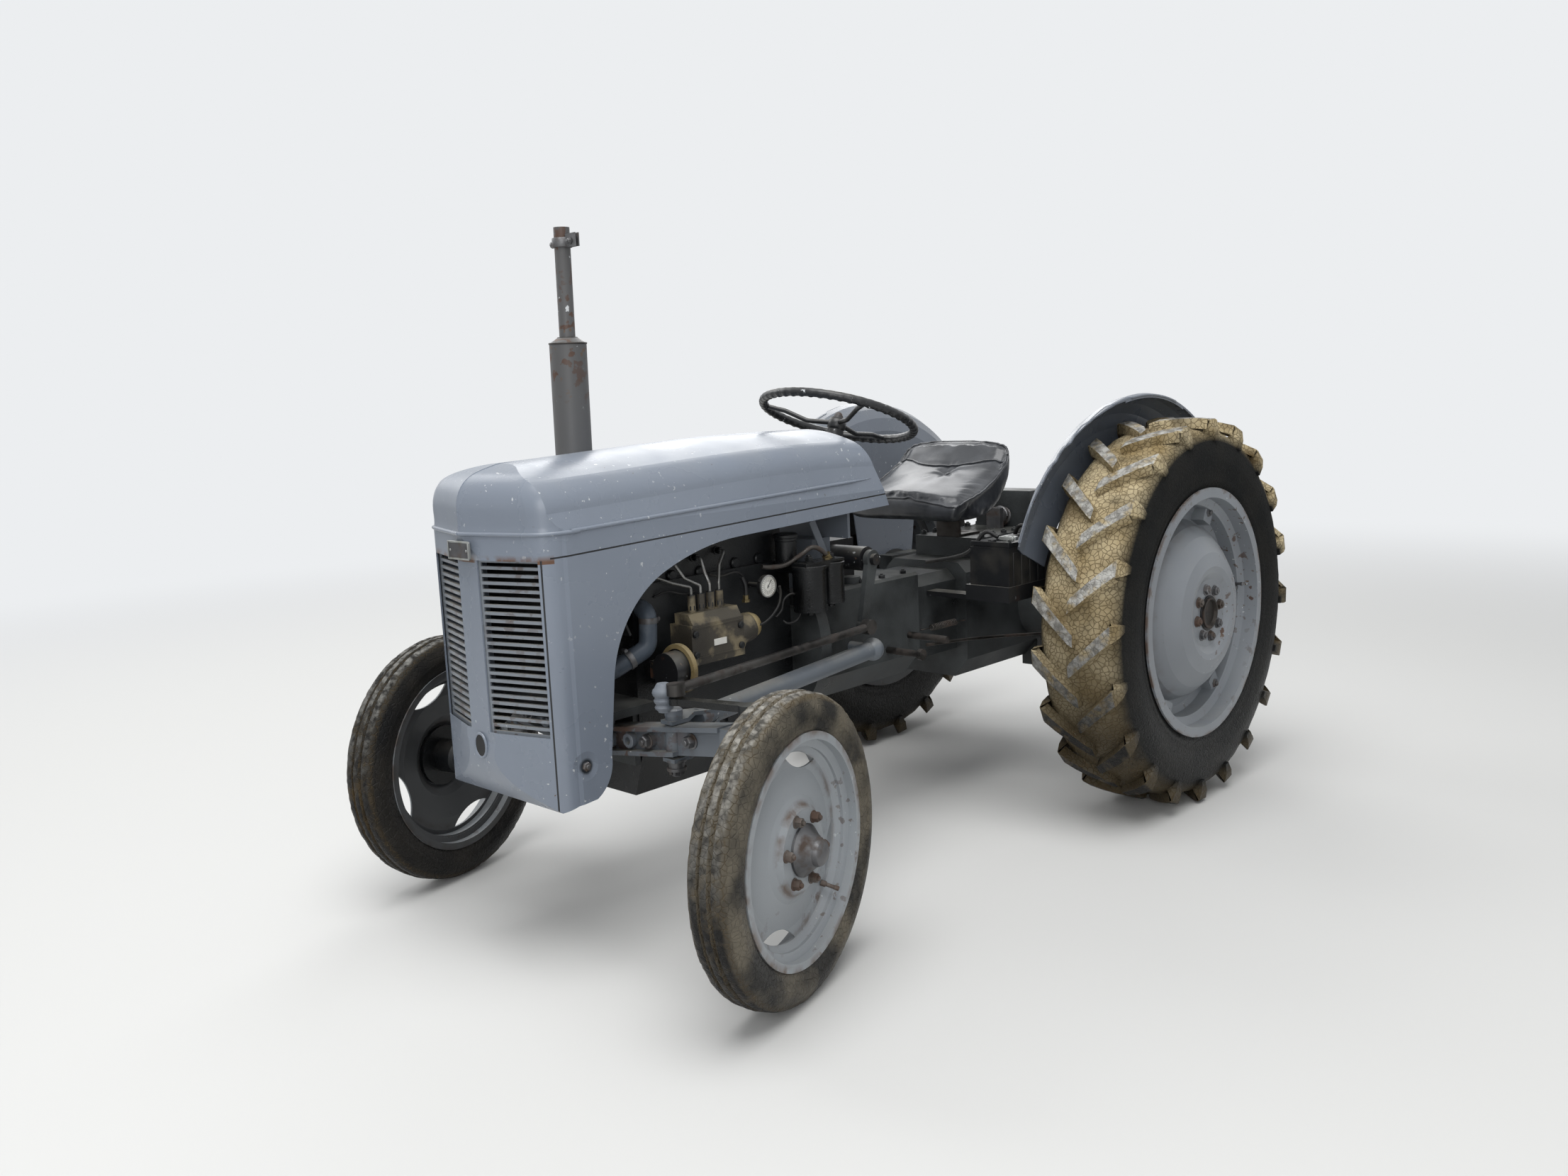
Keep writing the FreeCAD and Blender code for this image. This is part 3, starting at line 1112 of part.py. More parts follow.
def centre_housing():
    half, low, top = s.centre_half, s.centre_low_z, s.centre_top_z
    case = slab([(-half, low + 60), (-half + 50, low), (half - 50, low), (half, low + 60), (half, top - 30),
                 (half - 30, top), (-half + 30, top), (-half, top - 30)], "y", centre_front_y, centre_rear_y)
    cap = rod((0, centre_rear_y, s.shaft_z), (0, centre_rear_y + s.shaft_cap, s.shaft_z), 62)
    bore = rod((0, centre_rear_y - 60, s.shaft_z), (0, centre_rear_y + 60, s.shaft_z),
               s.shaft_r + s.shaft_step + s.run_gap)
    pins = [rod((sign * (half - 5), lower_y, s.lower_z + 0), (sign * (s.lower_front_x + s.lower_thick / 2 + 8),
                                                                 lower_y, s.lower_z), s.lower_bore_r)
            for sign in (1, -1)]
    lugs = [block(min(sign * (half - 60), sign * half), max(sign * (half - 60), sign * half),
                  lower_y - 40, lower_y + 40, s.lower_z - 36, low + 80) for sign in (1, -1)]
    return keep("centre_housing", join([case, cap] + pins + lugs).cut(bore))


def lift_cover():
    low = s.centre_top_z
    top = low + s.cover_plate
    cover = block(-128, 128, cover_front_y, centre_rear_y - 6, low, top)
    saddle = block(-110, 110, lift_y - 48, lift_y + 48, top, s.lift_z + 44)
    bore = rod((-200, lift_y, s.lift_z), (200, lift_y, s.lift_z), s.lift_shaft_r + s.run_gap)
    return keep("lift_cover", join([cover, saddle]).cut(bore))


def axle_trumpets():
    y, z = s.wheelbase, s.rear_tyre_r
    horn = rod((s.centre_half + s.run_gap, y, z), (s.trumpet_end_x, y, z), s.trumpet_big_r, s.trumpet_small_r)
    plate = rod((s.trumpet_end_x - 4, y, z), (s.trumpet_end_x + 8, y, z), s.backplate_r)
    foot = block(s.guard_inner_x - 60, s.guard_inner_x - s.run_gap, y - 90, y + 90, z - 70, z + 120)
    horn = join([horn, plate, foot])
    horn = horn.cut(rod((s.trumpet_end_x - s.half_shaft_in - 10, y, z), (s.trumpet_end_x + 20, y, z),
                        s.half_shaft_r + s.run_gap))
    return keep("axle_trumpets", Part.Compound([horn, mirror_x(horn)]))


def rear_place(body, sign):
    place(body, (sign * s.rear_centre_x, s.wheelbase, s.rear_tyre_r), 0 if sign > 0 else 180)


def rear_hub(sign, side):
    """Brake drum and axle flange."""
    body = doc.addObject("PartDesign::Body", f"rear_hub_{side}")
    inner = s.trumpet_end_x + 8 + s.pass_gap - s.rear_centre_x
    seat = s.dome_seat_x - s.rear_rim_wall - s.run_gap
    turned(body, "drum", [(inner - s.half_shaft_in, 0), (inner - s.half_shaft_in, s.half_shaft_r),
                          (inner, s.half_shaft_r), (inner, s.drum_r), (inner + s.drum_wide, s.drum_r),
                          (inner + s.drum_wide, s.rear_hub_r + 20), (seat - 14, s.rear_hub_r),
                          (seat - 14, s.dome_seat_r - 6), (seat, s.dome_seat_r - 6), (seat, s.cup_r),
                          (seat + 17, s.cup_r), (seat + 17, s.cup_r - 5), (seat + 9, s.cup_r - 10),
                          (seat + 6, 0)])
    rear_place(body, sign)
    return node(f"rear_hub_{side}", body)


def rear_wheel(sign, side):
    """Drop-centre rim with six lugs, and the dome disc that bulges outward."""
    half, wall = s.rear_rim_half, s.rear_rim_wall
    seat, well, flange = s.rear_seat_r, s.rear_well_r, s.rear_flange_r
    edge, foot, shoulder, top = s.dome_edge_x, s.dome_foot_x, s.dome_shoulder_x, s.dome_x
    hole = s.cup_r + s.run_gap
    shape = ring_shape([
        (-half, flange), (-half + wall, flange), (-half + wall, seat), (-half + 40, seat), (-half + 52, well),
        (half - 52, well), (half - 40, seat), (half - wall, seat), (half - wall, flange), (half, flange),
        (half, seat - wall), (half - 44, seat - wall), (half - 56, well - wall), (edge + 8, well - wall),
        (edge, s.dome_edge_r - 12), (foot - 14, s.dome_foot_r + 6), (foot, s.dome_foot_r),
        ((foot + shoulder) / 2, (s.dome_foot_r + s.dome_shoulder_r) / 2 + 7), (shoulder, s.dome_shoulder_r),
        (top - 10, s.dome_r + 42), (top, s.dome_r), (top - 4, s.dome_r - 18), (s.dome_seat_x, s.dome_seat_r),
        (s.dome_seat_x, hole), (s.dome_seat_x - wall, hole), (s.dome_seat_x - wall, s.dome_seat_r + 4),
        (top - 12, s.dome_r - 12), (top - 8, s.dome_r), (top - 18, s.dome_r + 38),
        (shoulder - 8, s.dome_shoulder_r - 4), ((foot + shoulder) / 2 - 6, (s.dome_foot_r + s.dome_shoulder_r) / 2 + 2),
        (foot - 6, s.dome_foot_r - 6), (foot - 20, s.dome_foot_r), (edge - wall, s.dome_edge_r - 10),
        (edge - wall - 2, well - wall), (-half + 56, well - wall), (-half + 44, seat - wall), (-half, seat - wall)])
    lug = block(edge - 20, edge + 42, -s.rim_lug, s.rim_lug, s.dome_edge_r - 30, well - 2)
    lugs = []
    for number in range(6):
        one = lug.copy()
        one.rotate(Vector(0, 0, 0), Vector(1, 0, 0), -25 + 60 * number)
        lugs.append(one)
    feature = keep(f"rear_wheel_{side}", join([shape] + lugs))
    rear_place(feature, sign)
    return feature


def ring_shape(points):
    """A ring about the x axis from its section of (along the axle, radius)."""
    corners = [vec(x, 0, r) for x, r in points]
    face = Part.Face(Part.makePolygon(corners + corners[:1]))
    return face.revolve(Vector(0, 0, 0), Vector(1, 0, 0), 360)


def rear_tyre(sign, side):
    """Tyre with raked lugs, staggered from side to side; the points of the V lead at the top."""
    tip, base, half = s.rear_tyre_r, s.rear_carcass_r, s.rear_tyre_half
    seat_half = s.rear_rim_half - s.rear_rim_wall - s.run_gap
    seat = s.rear_seat_r + s.run_gap
    flange = s.rear_flange_r
    carcass = ring_shape([
        (-seat_half, seat), (-seat_half, flange + 8), (-half + 6, flange + 40), (-half, flange + 92),
        (-half + 10, base - 44), (-half + 34, base - 14), (-40, base), (40, base), (half - 34, base - 14),
        (half - 10, base - 44), (half, flange + 92), (half - 6, flange + 40), (seat_half, flange + 8),
        (seat_half, seat)])
    tread = ring_shape([(-half - 1, base - 52), (-half - 1, base - 12), (-half + 14, tip - 12), (-60, tip),
                        (60, tip), (half - 14, tip - 12), (half + 1, base - 12), (half + 1, base - 52),
                        (half - 40, base - 30), (0, base - 12), (-half + 40, base - 30)])
    step = 360 / s.lug_count
    lugs = []
    for number in range(int(s.lug_count)):
        for edge in (1, -1):
            bar = block(-14, half * 1.62, -s.lug_thick / 2, s.lug_thick / 2, base - 60, tip + 10)
            bar.rotate(Vector(0, 0, 0), Vector(0, 0, 1), float(s.lug_rake))
            if edge < 0:
                bar = mirror_x(bar)
            turn = number * step + (step / 2 if edge < 0 else 0)
            bar.rotate(Vector(0, 0, 0), Vector(1, 0, 0), float(turn))
            lugs.append(bar)
    lugs = tread.common(Part.Compound(lugs))
    shape = carcass.multiFuse(lugs.Solids)
    return keep(f"rear_tyre_{side}", shape, (sign * s.rear_centre_x, s.wheelbase, s.rear_tyre_r))


def mudguards():
    """Sheet crown rolled about a point just ahead of the axle, with an inner plate down to the trumpet."""
    inner, outer, r, t = s.guard_inner_x, s.guard_outer_x, s.guard_r, s.guard_wall
    skin = [(inner, s.guard_plate_r), (inner, r - 104), (inner + 12, r - 58), (inner + 36, r - 25),
            (inner + 68, r - 6), (outer - 16, r), (outer, r - 5), (outer, r - 14)]
    back = [(outer - t, r - 14), (outer - t, r - 5 - t), (outer - 16, r - t), (inner + 69, r - 6 - t),
            (inner + 39, r - 25 - t), (inner + 16, r - 60), (inner + t, r - 104), (inner + t, s.guard_plate_r)]
    corners = [vec(x, radius, 0) for x, radius in skin + back]
    face = Part.Face(Part.makePolygon(corners + corners[:1]))
    face.rotate(Vector(0, 0, 0), Vector(1, 0, 0), float(s.guard_rear))
    guard = face.revolve(Vector(0, 0, 0), Vector(1, 0, 0), float(s.guard_front - s.guard_rear))
    plan = slab([(inner - 10, r + 20), (outer - 30, r + 20), (outer - 10, r * 0.6), (outer + 5, 0),
                 (outer - 14, -r * 0.38), (outer - 38, -r * 0.56), (outer - 62, -r * 0.7), (s.guard_end_x, -r * 0.83),
                 (s.guard_end_x - 4, -r - 20), (inner - 10, -r - 20)], "z", -r - 50, r + 50)
    guard = guard.common(plan)
    web = slab([(-130, 10), (130, 10), (200, s.guard_plate_r), (-200, s.guard_plate_r)], "x", inner, inner + t)
    guard = join([guard, web])
    guard.translate(vec(0, s.wheelbase - s.guard_ahead, s.rear_tyre_r - s.guard_drop))
    guard = guard.cut(rod((inner - 5, s.wheelbase, s.rear_tyre_r), (inner + 10, s.wheelbase, s.rear_tyre_r),
                          s.trumpet_big_r))
    return keep("mudguards", Part.Compound([guard, mirror_x(guard)]))


def lift_arm_pin():
    angle = math.radians(s.lift_arm_down)
    return lift_y + s.lift_arm * math.cos(angle), s.lift_z - s.lift_arm * math.sin(angle)


def bar_between(start, end, high_start, high_end, low_x, high_x):
    """A flat tapered bar between two points given as (y, z)."""
    along = (float(end[0]) - float(start[0]), float(end[1]) - float(start[1]))
    length = math.hypot(*along)
    across = (-along[1] / length, along[0] / length)
    points = [(start[0] + across[0] * high_start, start[1] + across[1] * high_start),
              (end[0] + across[0] * high_end, end[1] + across[1] * high_end),
              (end[0] - across[0] * high_end, end[1] - across[1] * high_end),
              (start[0] - across[0] * high_start, start[1] - across[1] * high_start)]
    return slab(points, "x", low_x, high_x)


def lift_arms():
    """Cross shaft with its two arms, which move as one."""
    pin_y, pin_z = lift_arm_pin()
    half = s.lift_arm_thick / 2
    shaft = rod((-s.lift_arm_x, lift_y, s.lift_z), (s.lift_arm_x, lift_y, s.lift_z), s.lift_shaft_r)
    pieces = [shaft]
    for sign in (1, -1):
        x = sign * s.lift_arm_x
        pieces.append(bar_between((lift_y, s.lift_z), (pin_y, pin_z), 30, 17, x - half, x + half))
        pieces.append(rod((x - half, lift_y, s.lift_z), (x + half, lift_y, s.lift_z), 42))
        pieces.append(rod((x - half, pin_y, pin_z), (x + half, pin_y, pin_z), 20))
    return keep("lift_arms", join(pieces))


def lower_point(along):
    """A point on the lower link's centreline, that far from its front pin."""
    share = along / (lower_rear_y - lower_y)
    return s.lower_front_x + (s.lower_rear_x - s.lower_front_x) * share, lower_y + along


def lift_rod(sign, side):
    """Rod from the lift arm to the lower link; its lower end lies beside the link."""
    pin_y, pin_z = lift_arm_pin()
    top_x = s.lift_arm_x + s.lift_arm_thick / 2 + s.run_gap
    link_x, link_y = lower_point(s.lift_point)
    low_x = link_x - s.lower_thick / 2 - s.pass_gap - 6
    eye = rod((sign * top_x, pin_y, pin_z), (sign * (top_x + 28), pin_y, pin_z), 20)
    foot = rod((sign * (low_x - 20), link_y, s.lower_z), (sign * low_x, link_y, s.lower_z), 20)
    bar = rod((sign * (top_x + 16), pin_y, pin_z), (sign * (low_x - 10), link_y, s.lower_z), s.lift_rod_r)
    return keep(f"lift_rod_{side}", join([eye, foot, bar]))


def lower_link(sign, side):
    """Flat bar with a ball socket at each end."""
    half, tall = s.lower_thick / 2, s.lower_tall / 2
    y0, y1, z = lower_y, lower_rear_y, s.lower_z
    bar = slab([(sign * (s.lower_front_x - half), y0), (sign * (s.lower_front_x + half), y0),
                (sign * (s.lower_rear_x + half), y1), (sign * (s.lower_rear_x - half), y1)],
               "z", z - tall, z + tall)
    front = rod((sign * (s.lower_front_x - half), y0, z), (sign * (s.lower_front_x + half), y0, z), s.lower_eye_r)
    rear = rod((sign * (s.lower_rear_x - half - 3), y1, z), (sign * (s.lower_rear_x + half + 3), y1, z), s.lower_eye_r)
    shape = join([bar, front, rear])
    for x, y, gap in ((s.lower_front_x, y0, s.run_gap), (s.lower_rear_x, y1, 0)):
        shape = shape.cut(rod((sign * (x - 40), y, z), (sign * (x + 40), y, z), s.lower_bore_r + gap))
    return keep(f"lower_link_{side}", shape)


def control_spring():
    """Draft control spring and the yoke that takes the top link's pin."""
    y0, y1 = spring_y - s.spring_long / 2, spring_y + s.spring_long / 2
    z = s.spring_z
    barrel = rod((0, y0, z), (0, y1, z), s.spring_r)
    base = block(-28, 28, y0 - 20, y0, s.centre_top_z + s.cover_plate, z + 30)
    return keep("control_spring", join([barrel, base]))


def top_yoke():
    """Yoke behind the housing with the top link's pin hole."""
    half = 30
    plate = 12
    y, z = top_pin_y, s.top_pin_z
    face = centre_rear_y + s.run_gap
    base = block(-half - plate, half + plate, face, face + 16, z - 110, z - 60 + 40)
    cheeks = [block(min(sign * half, sign * (half + plate)), max(sign * half, sign * (half + plate)),
                    face, y + 22, z - 60, z + 22) for sign in (1, -1)]
    bore = rod((-60, y, z), (60, y, z), s.top_bore_r)
    return keep("top_yoke", join([base] + cheeks).cut(bore))


def drive_shaft():
    """Journal in the bearing cap, an undercut and the full-size end."""
    face = centre_rear_y + s.shaft_cap + 2
    neck = face + s.shaft_neck
    z = s.shaft_z
    journal = rod((0, centre_rear_y - 40, z), (0, face, z), s.shaft_r + s.shaft_step)
    undercut = rod((0, face, z), (0, neck, z), s.shaft_r - s.shaft_step)
    end = rod((0, neck, z), (0, neck + s.shaft_long, z), s.shaft_r)
    return keep("drive_shaft", join([journal, undercut, end]))


def battery():
    x, y, z = s.battery_x, battery_y, s.battery_z
    case = block(x, x + s.battery_wide, y, y + s.battery_long, z, z + s.battery_tall - 14)
    lid = block(x + 3, x + s.battery_wide - 3, y + 3, y + s.battery_long - 3, z + s.battery_tall - 14, z + s.battery_tall)
    return keep("battery", join([case, lid]))


def battery_tray():
    x, y, z, t = s.battery_x, battery_y, s.battery_z, s.tray_wall
    gap = s.run_gap
    outer = block(x - t - gap, x + s.battery_wide + gap + 4, y - t - gap, y + s.battery_long + t + gap,
                  z - t - gap, z + 34)
    inner = block(x - gap, x + s.battery_wide + gap, y - gap, y + s.battery_long + gap, z - gap, z + 40)
    tray = outer.cut(inner)
    arm = block(s.waist_half + gap, x + 60, y + 60, y + 110, z - t - gap - 14, z - t - gap)
    return keep("battery_tray", join([tray, arm]))


def foot_controls():
    """Pedal shafts with their pads gone, on both sides, and the brake rods."""
    pieces = []
    front, rear = box_rear_y - 150, box_rear_y - 50
    face = s.box_half + s.run_gap
    low, high = s.box_low_z + 101, s.box_low_z + 129
    for sign in (1, -1):
        peg = rod((sign * face, front, low), (sign * (face + 118), front, low), 10)
        knob = rod((sign * (face + 114), front, low), (sign * (face + 128), front, low), 16)
        second = rod((sign * face, rear, high), (sign * (face + 140), rear, high), 10)
        pieces += [join([peg, knob]), second]
    return keep("foot_controls", Part.Compound(pieces))


def seat_bracket():
    """Bent plate from the lift cover up to the seat."""
    low = s.centre_top_z + s.cover_plate
    top = s.seat_low_z - s.run_gap
    half = s.seat_strap_half
    front = cover_front_y + 6
    foot = block(-half, half, front, front + 114, low, low + 8)
    stem = block(-half, half, front, front + 10, low, top)
    head = block(-2 * half, 2 * half, front - 156, front + 10, top - 8, top)
    return keep("seat_bracket", join([foot, stem, head]))


def seat():
    """Padded pan seat with a raised back rim, as one closed cushion."""
    front, rear, half = seat_front_y, seat_rear_y, s.seat_half
    low, front_z, back = s.seat_low_z, s.seat_front_z, s.seat_back_z
    shape = slab([(front, low), (rear - 70, low), (rear, back - 60), (rear - 6, back), (rear - 60, back - 10),
                  (rear - 120, front_z + 40), (front + 60, front_z), (front, front_z - 20)], "x", -half, half)
    plan = slab([(-half + 60, front), (half - 60, front), (half, front + 70), (half, rear - 130), (half - 70, rear - 30),
                 (half - 150, rear), (-half + 150, rear), (-half + 70, rear - 30), (-half, rear - 130),
                 (-half, front + 70)], "z", low, back)
    return keep("seat", shape.common(plan))


bonnet()
grille()
radiator()
front_support()
axle_beam()
axle_arms()
for sign, side in ((1, "left"), (-1, "right")):
    knuckle(sign, side)
    front_hub(sign, side)
    front_wheel(sign, side)
    front_tyre(sign, side)
    drop_arm(sign, side)
    drag_link(sign, side)
    rear_hub(sign, side)
    rear_wheel(sign, side)
    rear_tyre(sign, side)
    lift_rod(sign, side)
    lower_link(sign, side)
radius_rods()
engine_block()
rocker_cover()
injection_pump()
injector_pipes()
gauge()
fuel_filters()
manifold()
exhaust()
dynamo()
fan()
water_hoses()
fuel_tank()
dash()
steering_column()
steering_wheel()
gearbox()
centre_housing()
lift_cover()
axle_trumpets()
mudguards()
lift_arms()
control_spring()
top_yoke()
drive_shaft()
battery()
battery_tray()
foot_controls()
seat_bracket()
seat()

doc.recompute()

for feature in doc.Objects:
    if "Invalid" in feature.State or "Error" in feature.State:
        raise RuntimeError(f"{feature.Label} failed: {feature.State}")
for name, feature in NODES.items():
    if feature.Shape.isNull() or not feature.Shape.isValid():
        raise RuntimeError(f"{name} has no valid shape")

os.makedirs("parts", exist_ok=True)
for name, feature in NODES.items():
    feature.Shape.exportStep(f"parts/{name}.step")
print(len(NODES), "sub-parts")
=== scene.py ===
import json
import math
import random

import bmesh
import bpy
from mathutils import Matrix, Vector, noise


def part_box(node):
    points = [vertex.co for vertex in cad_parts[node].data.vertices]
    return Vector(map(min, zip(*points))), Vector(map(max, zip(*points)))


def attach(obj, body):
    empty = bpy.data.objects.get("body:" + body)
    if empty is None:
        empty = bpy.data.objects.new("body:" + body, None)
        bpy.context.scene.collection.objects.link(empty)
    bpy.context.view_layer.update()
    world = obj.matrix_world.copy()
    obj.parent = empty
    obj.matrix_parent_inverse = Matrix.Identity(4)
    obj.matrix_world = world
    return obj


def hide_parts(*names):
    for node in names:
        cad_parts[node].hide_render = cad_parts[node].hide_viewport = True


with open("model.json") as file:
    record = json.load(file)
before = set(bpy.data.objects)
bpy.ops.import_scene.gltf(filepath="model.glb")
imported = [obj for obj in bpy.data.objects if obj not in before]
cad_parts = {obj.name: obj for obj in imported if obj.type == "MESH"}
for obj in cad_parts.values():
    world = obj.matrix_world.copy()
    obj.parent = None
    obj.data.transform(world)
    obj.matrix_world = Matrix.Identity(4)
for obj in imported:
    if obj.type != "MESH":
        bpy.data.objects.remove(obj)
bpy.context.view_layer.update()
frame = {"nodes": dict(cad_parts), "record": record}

# A small farm tractor. Places are in millimetres from the front kingpins, as in the part's source: y is 0
# there and grows to the rear, +x is the tractor's left and z is up. at() turns them into metres.
MM = 0.001
JOINTS = {joint["name"]: joint for joint in frame["record"]["behaviour"]["joints"]}
KINGPIN_Y = JOINTS["steer_left"]["pos_m"][1]
DICE = random.Random(7)
SIDES = (("left", 1), ("right", -1))
WHEELBASE = 1778
REAR_WHEEL_X = 626
REAR_TYRE_R = 594
FRONT_TYRE_R = 344
REAR_FLANGE_R = 381
FRONT_FLANGE_R = 257


def at(x, y, z):
    """A place on the tractor, in metres."""
    return Vector((x * MM, y * MM + KINGPIN_Y, z * MM))


def joint_place(name):
    return Vector(JOINTS[name]["pos_m"])


def joint_axis(name):
    return Vector(JOINTS[name]["axis"]).normalized()


def wheel_frame(joint, sign):
    """A wheel's own frame: x outward along its axle, y to the rear and z up. It is mirrored on the right."""
    outward = joint_axis(joint) * sign
    rear = Vector((0, 0, 1)).cross(outward) * sign
    return Matrix.Translation(joint_place(joint)) @ Matrix((outward, rear, Vector((0, 0, 1)))).transposed().to_4x4()


def stood(matrix, place, axis, up=(0, 0, 1)):
    """A frame at a place inside another frame, with z along an axis."""
    z = Vector(axis).normalized()
    x = Vector(up).cross(z)
    if x.length < 0.01:
        x = Vector((1, 0, 0)) - z * z.x
    x.normalize()
    turned = Matrix((x, z.cross(x), z)).transposed().to_4x4()
    return matrix @ Matrix.Translation(Vector(place) * MM) @ turned


BODYWORK = Matrix.Translation(at(0, 0, 0))


# Finishes
def linear(hex_colour):
    """An sRGB hex colour as linear red, green, blue and alpha."""
    channels = [int(hex_colour[i:i + 2], 16) / 255 for i in (1, 3, 5)]
    return tuple(c / 12.92 if c <= 0.04045 else ((c + 0.055) / 1.055) ** 2.4 for c in channels) + (1.0,)


def add(tree, kind, sockets=None, **settings):
    """Adds a node to a material, with its settings, and sets or links its sockets."""
    node = tree.nodes.new("ShaderNode" + kind)
    for key, value in settings.items():
        setattr(node, key, value)
    for name, value in (sockets or {}).items():
        if isinstance(value, bpy.types.NodeSocket):
            tree.links.new(value, node.inputs[name])
        else:
            node.inputs[name].default_value = value
    return node


def new_finish(name):
    """An empty material with its shader, and the place on the surface in metres."""
    material = bpy.data.materials.new(name)
    material.use_nodes = True
    tree = material.node_tree
    tree.nodes.clear()
    shader = add(tree, "BsdfPrincipled")
    output = add(tree, "OutputMaterial")
    tree.links.new(shader.outputs["BSDF"], output.inputs["Surface"])
    place = add(tree, "TexCoord").outputs["Object"]
    return material, tree, shader, place


def spots(tree, place, size_mm, low, high, detail=3.0, within=None):
    """Patches of about size_mm: 0 below the low level of the noise, 1 above the high one."""
    cloud = add(tree, "TexNoise", {"Vector": place, "Scale": 500 / size_mm, "Detail": detail}).outputs[0]
    patch = add(tree, "MapRange", {"Value": cloud, "From Min": low, "From Max": high}).outputs[0]
    if within is None:
        return patch
    return add(tree, "Math", {0: patch, 1: within}, operation="MULTIPLY").outputs[0]


def coats(tree, colour, *layers):
    """Lays coats over a colour, each a mask and the colour that shows where the mask is 1."""
    for mask, over in layers:
        colour = add(tree, "Mix", {0: mask, 6: colour, 7: over}, data_type="RGBA").outputs[2]
    return colour


def grime(tree, place, dust_share):
    """Dust that settles on faces that look up, broken up at hand size."""
    normal = add(tree, "NewGeometry").outputs["Normal"]
    rise = add(tree, "SeparateXYZ", {0: normal}).outputs[2]
    level = add(tree, "MapRange", {"Value": rise, "From Min": 0.25, "From Max": 0.95, "To Max": dust_share}).outputs[0]
    return spots(tree, place, 60, 0.35, 0.7, 6, level)


def enamel(name, colour, shade, roughness, rust_level=0.66, dust=0.25, freckles=0.5):
    """Air-drying enamel brushed over pressed steel: slow clouds of shade, pale nicks, rust freckles, soft gloss."""
    material, tree, shader, place = new_finish(name)
    paint = coats(tree, linear(shade), (spots(tree, place, 300, 0.3, 0.72, 4), linear(colour)))
    worn = spots(tree, place, 190, 0.44, 0.6)
    paint = coats(tree, paint,
                  (spots(tree, place, 7, 0.70, 0.73, 2, worn), linear("#c3c6c8")),
                  (spots(tree, place, 9, 0.74 - 0.1 * freckles, 0.78 - 0.1 * freckles, 4, worn), linear("#5b4a3c")),
                  (spots(tree, place, 16, rust_level, rust_level + 0.03, 5, worn), linear("#4a3428")),
                  (grime(tree, place, dust), linear("#a9a59a")))
    tree.links.new(paint, shader.inputs["Base Color"])
    dull = add(tree, "MapRange", {"Value": spots(tree, place, 90, 0.3, 0.75, 5), "To Min": roughness - 0.06,
                                  "To Max": roughness + 0.14}).outputs[0]
    tree.links.new(dull, shader.inputs["Roughness"])
    shader.inputs["IOR"].default_value = 1.5
    peel = add(tree, "TexNoise", {"Vector": place, "Scale": 160.0, "Detail": 2.0}).outputs[0]
    skin = add(tree, "Bump", {"Height": peel, "Distance": 0.00012}).outputs[0]
    tree.links.new(skin, shader.inputs["Normal"])
    return material


def casting(name, colour, dust_colour, oil_colour, roughness=0.55, rust=0.0, rust_colour="#6b4026"):
    """Sand-cast iron: a grainy skin, black and wet with oil in patches, dust and rust bloom on top."""
    material, tree, shader, place = new_finish(name)
    oily = spots(tree, place, 120, 0.36, 0.62, 6)
    skin = coats(tree, linear(oil_colour), (oily, linear(colour)), (grime(tree, place, 0.9), linear(dust_colour)))
    if rust:
        bloom = add(tree, "MapRange", {"Value": spots(tree, place, 34, 0.5, 0.6, 7), "To Max": rust}).outputs[0]
        skin = coats(tree, skin, (bloom, linear(rust_colour)))
    tree.links.new(skin, shader.inputs["Base Color"])
    shader.inputs["Specular IOR Level"].default_value = 0.32
    wet = add(tree, "MapRange", {"Value": oily, "To Min": roughness - 0.2, "To Max": roughness + 0.15}).outputs[0]
    tree.links.new(wet, shader.inputs["Roughness"])
    grain = add(tree, "TexNoise", {"Vector": place, "Scale": 330.0, "Detail": 4.0}).outputs[0]
    skin = add(tree, "Bump", {"Height": grain, "Distance": 0.0007}).outputs[0]
    tree.links.new(skin, shader.inputs["Normal"])
    return material


def bare_metal(name, colour, dark, rust_colour, rust, roughness):
    """Handled steel: bright where it rubs, brown and dull where it rusts."""
    material, tree, shader, place = new_finish(name)
    brown = spots(tree, place, 22, 0.62 - rust * 0.3, 0.72 - rust * 0.2, 6)
    metal = coats(tree, linear(dark), (spots(tree, place, 70, 0.35, 0.65, 5), linear(colour)),
                  (brown, linear(rust_colour)))
    tree.links.new(metal, shader.inputs["Base Color"])
    shine = add(tree, "MapRange", {"Value": brown, "To Min": 0.85, "To Max": 0.0}).outputs[0]
    tree.links.new(shine, shader.inputs["Metallic"])
    rough = add(tree, "MapRange", {"Value": brown, "To Min": roughness, "To Max": 0.85}).outputs[0]
    tree.links.new(rough, shader.inputs["Roughness"])
    pits = add(tree, "TexNoise", {"Vector": place, "Scale": 420.0, "Detail": 5.0}).outputs[0]
    skin = add(tree, "Bump", {"Height": pits, "Distance": 0.00035}).outputs[0]
    tree.links.new(skin, shader.inputs["Normal"])
    return material


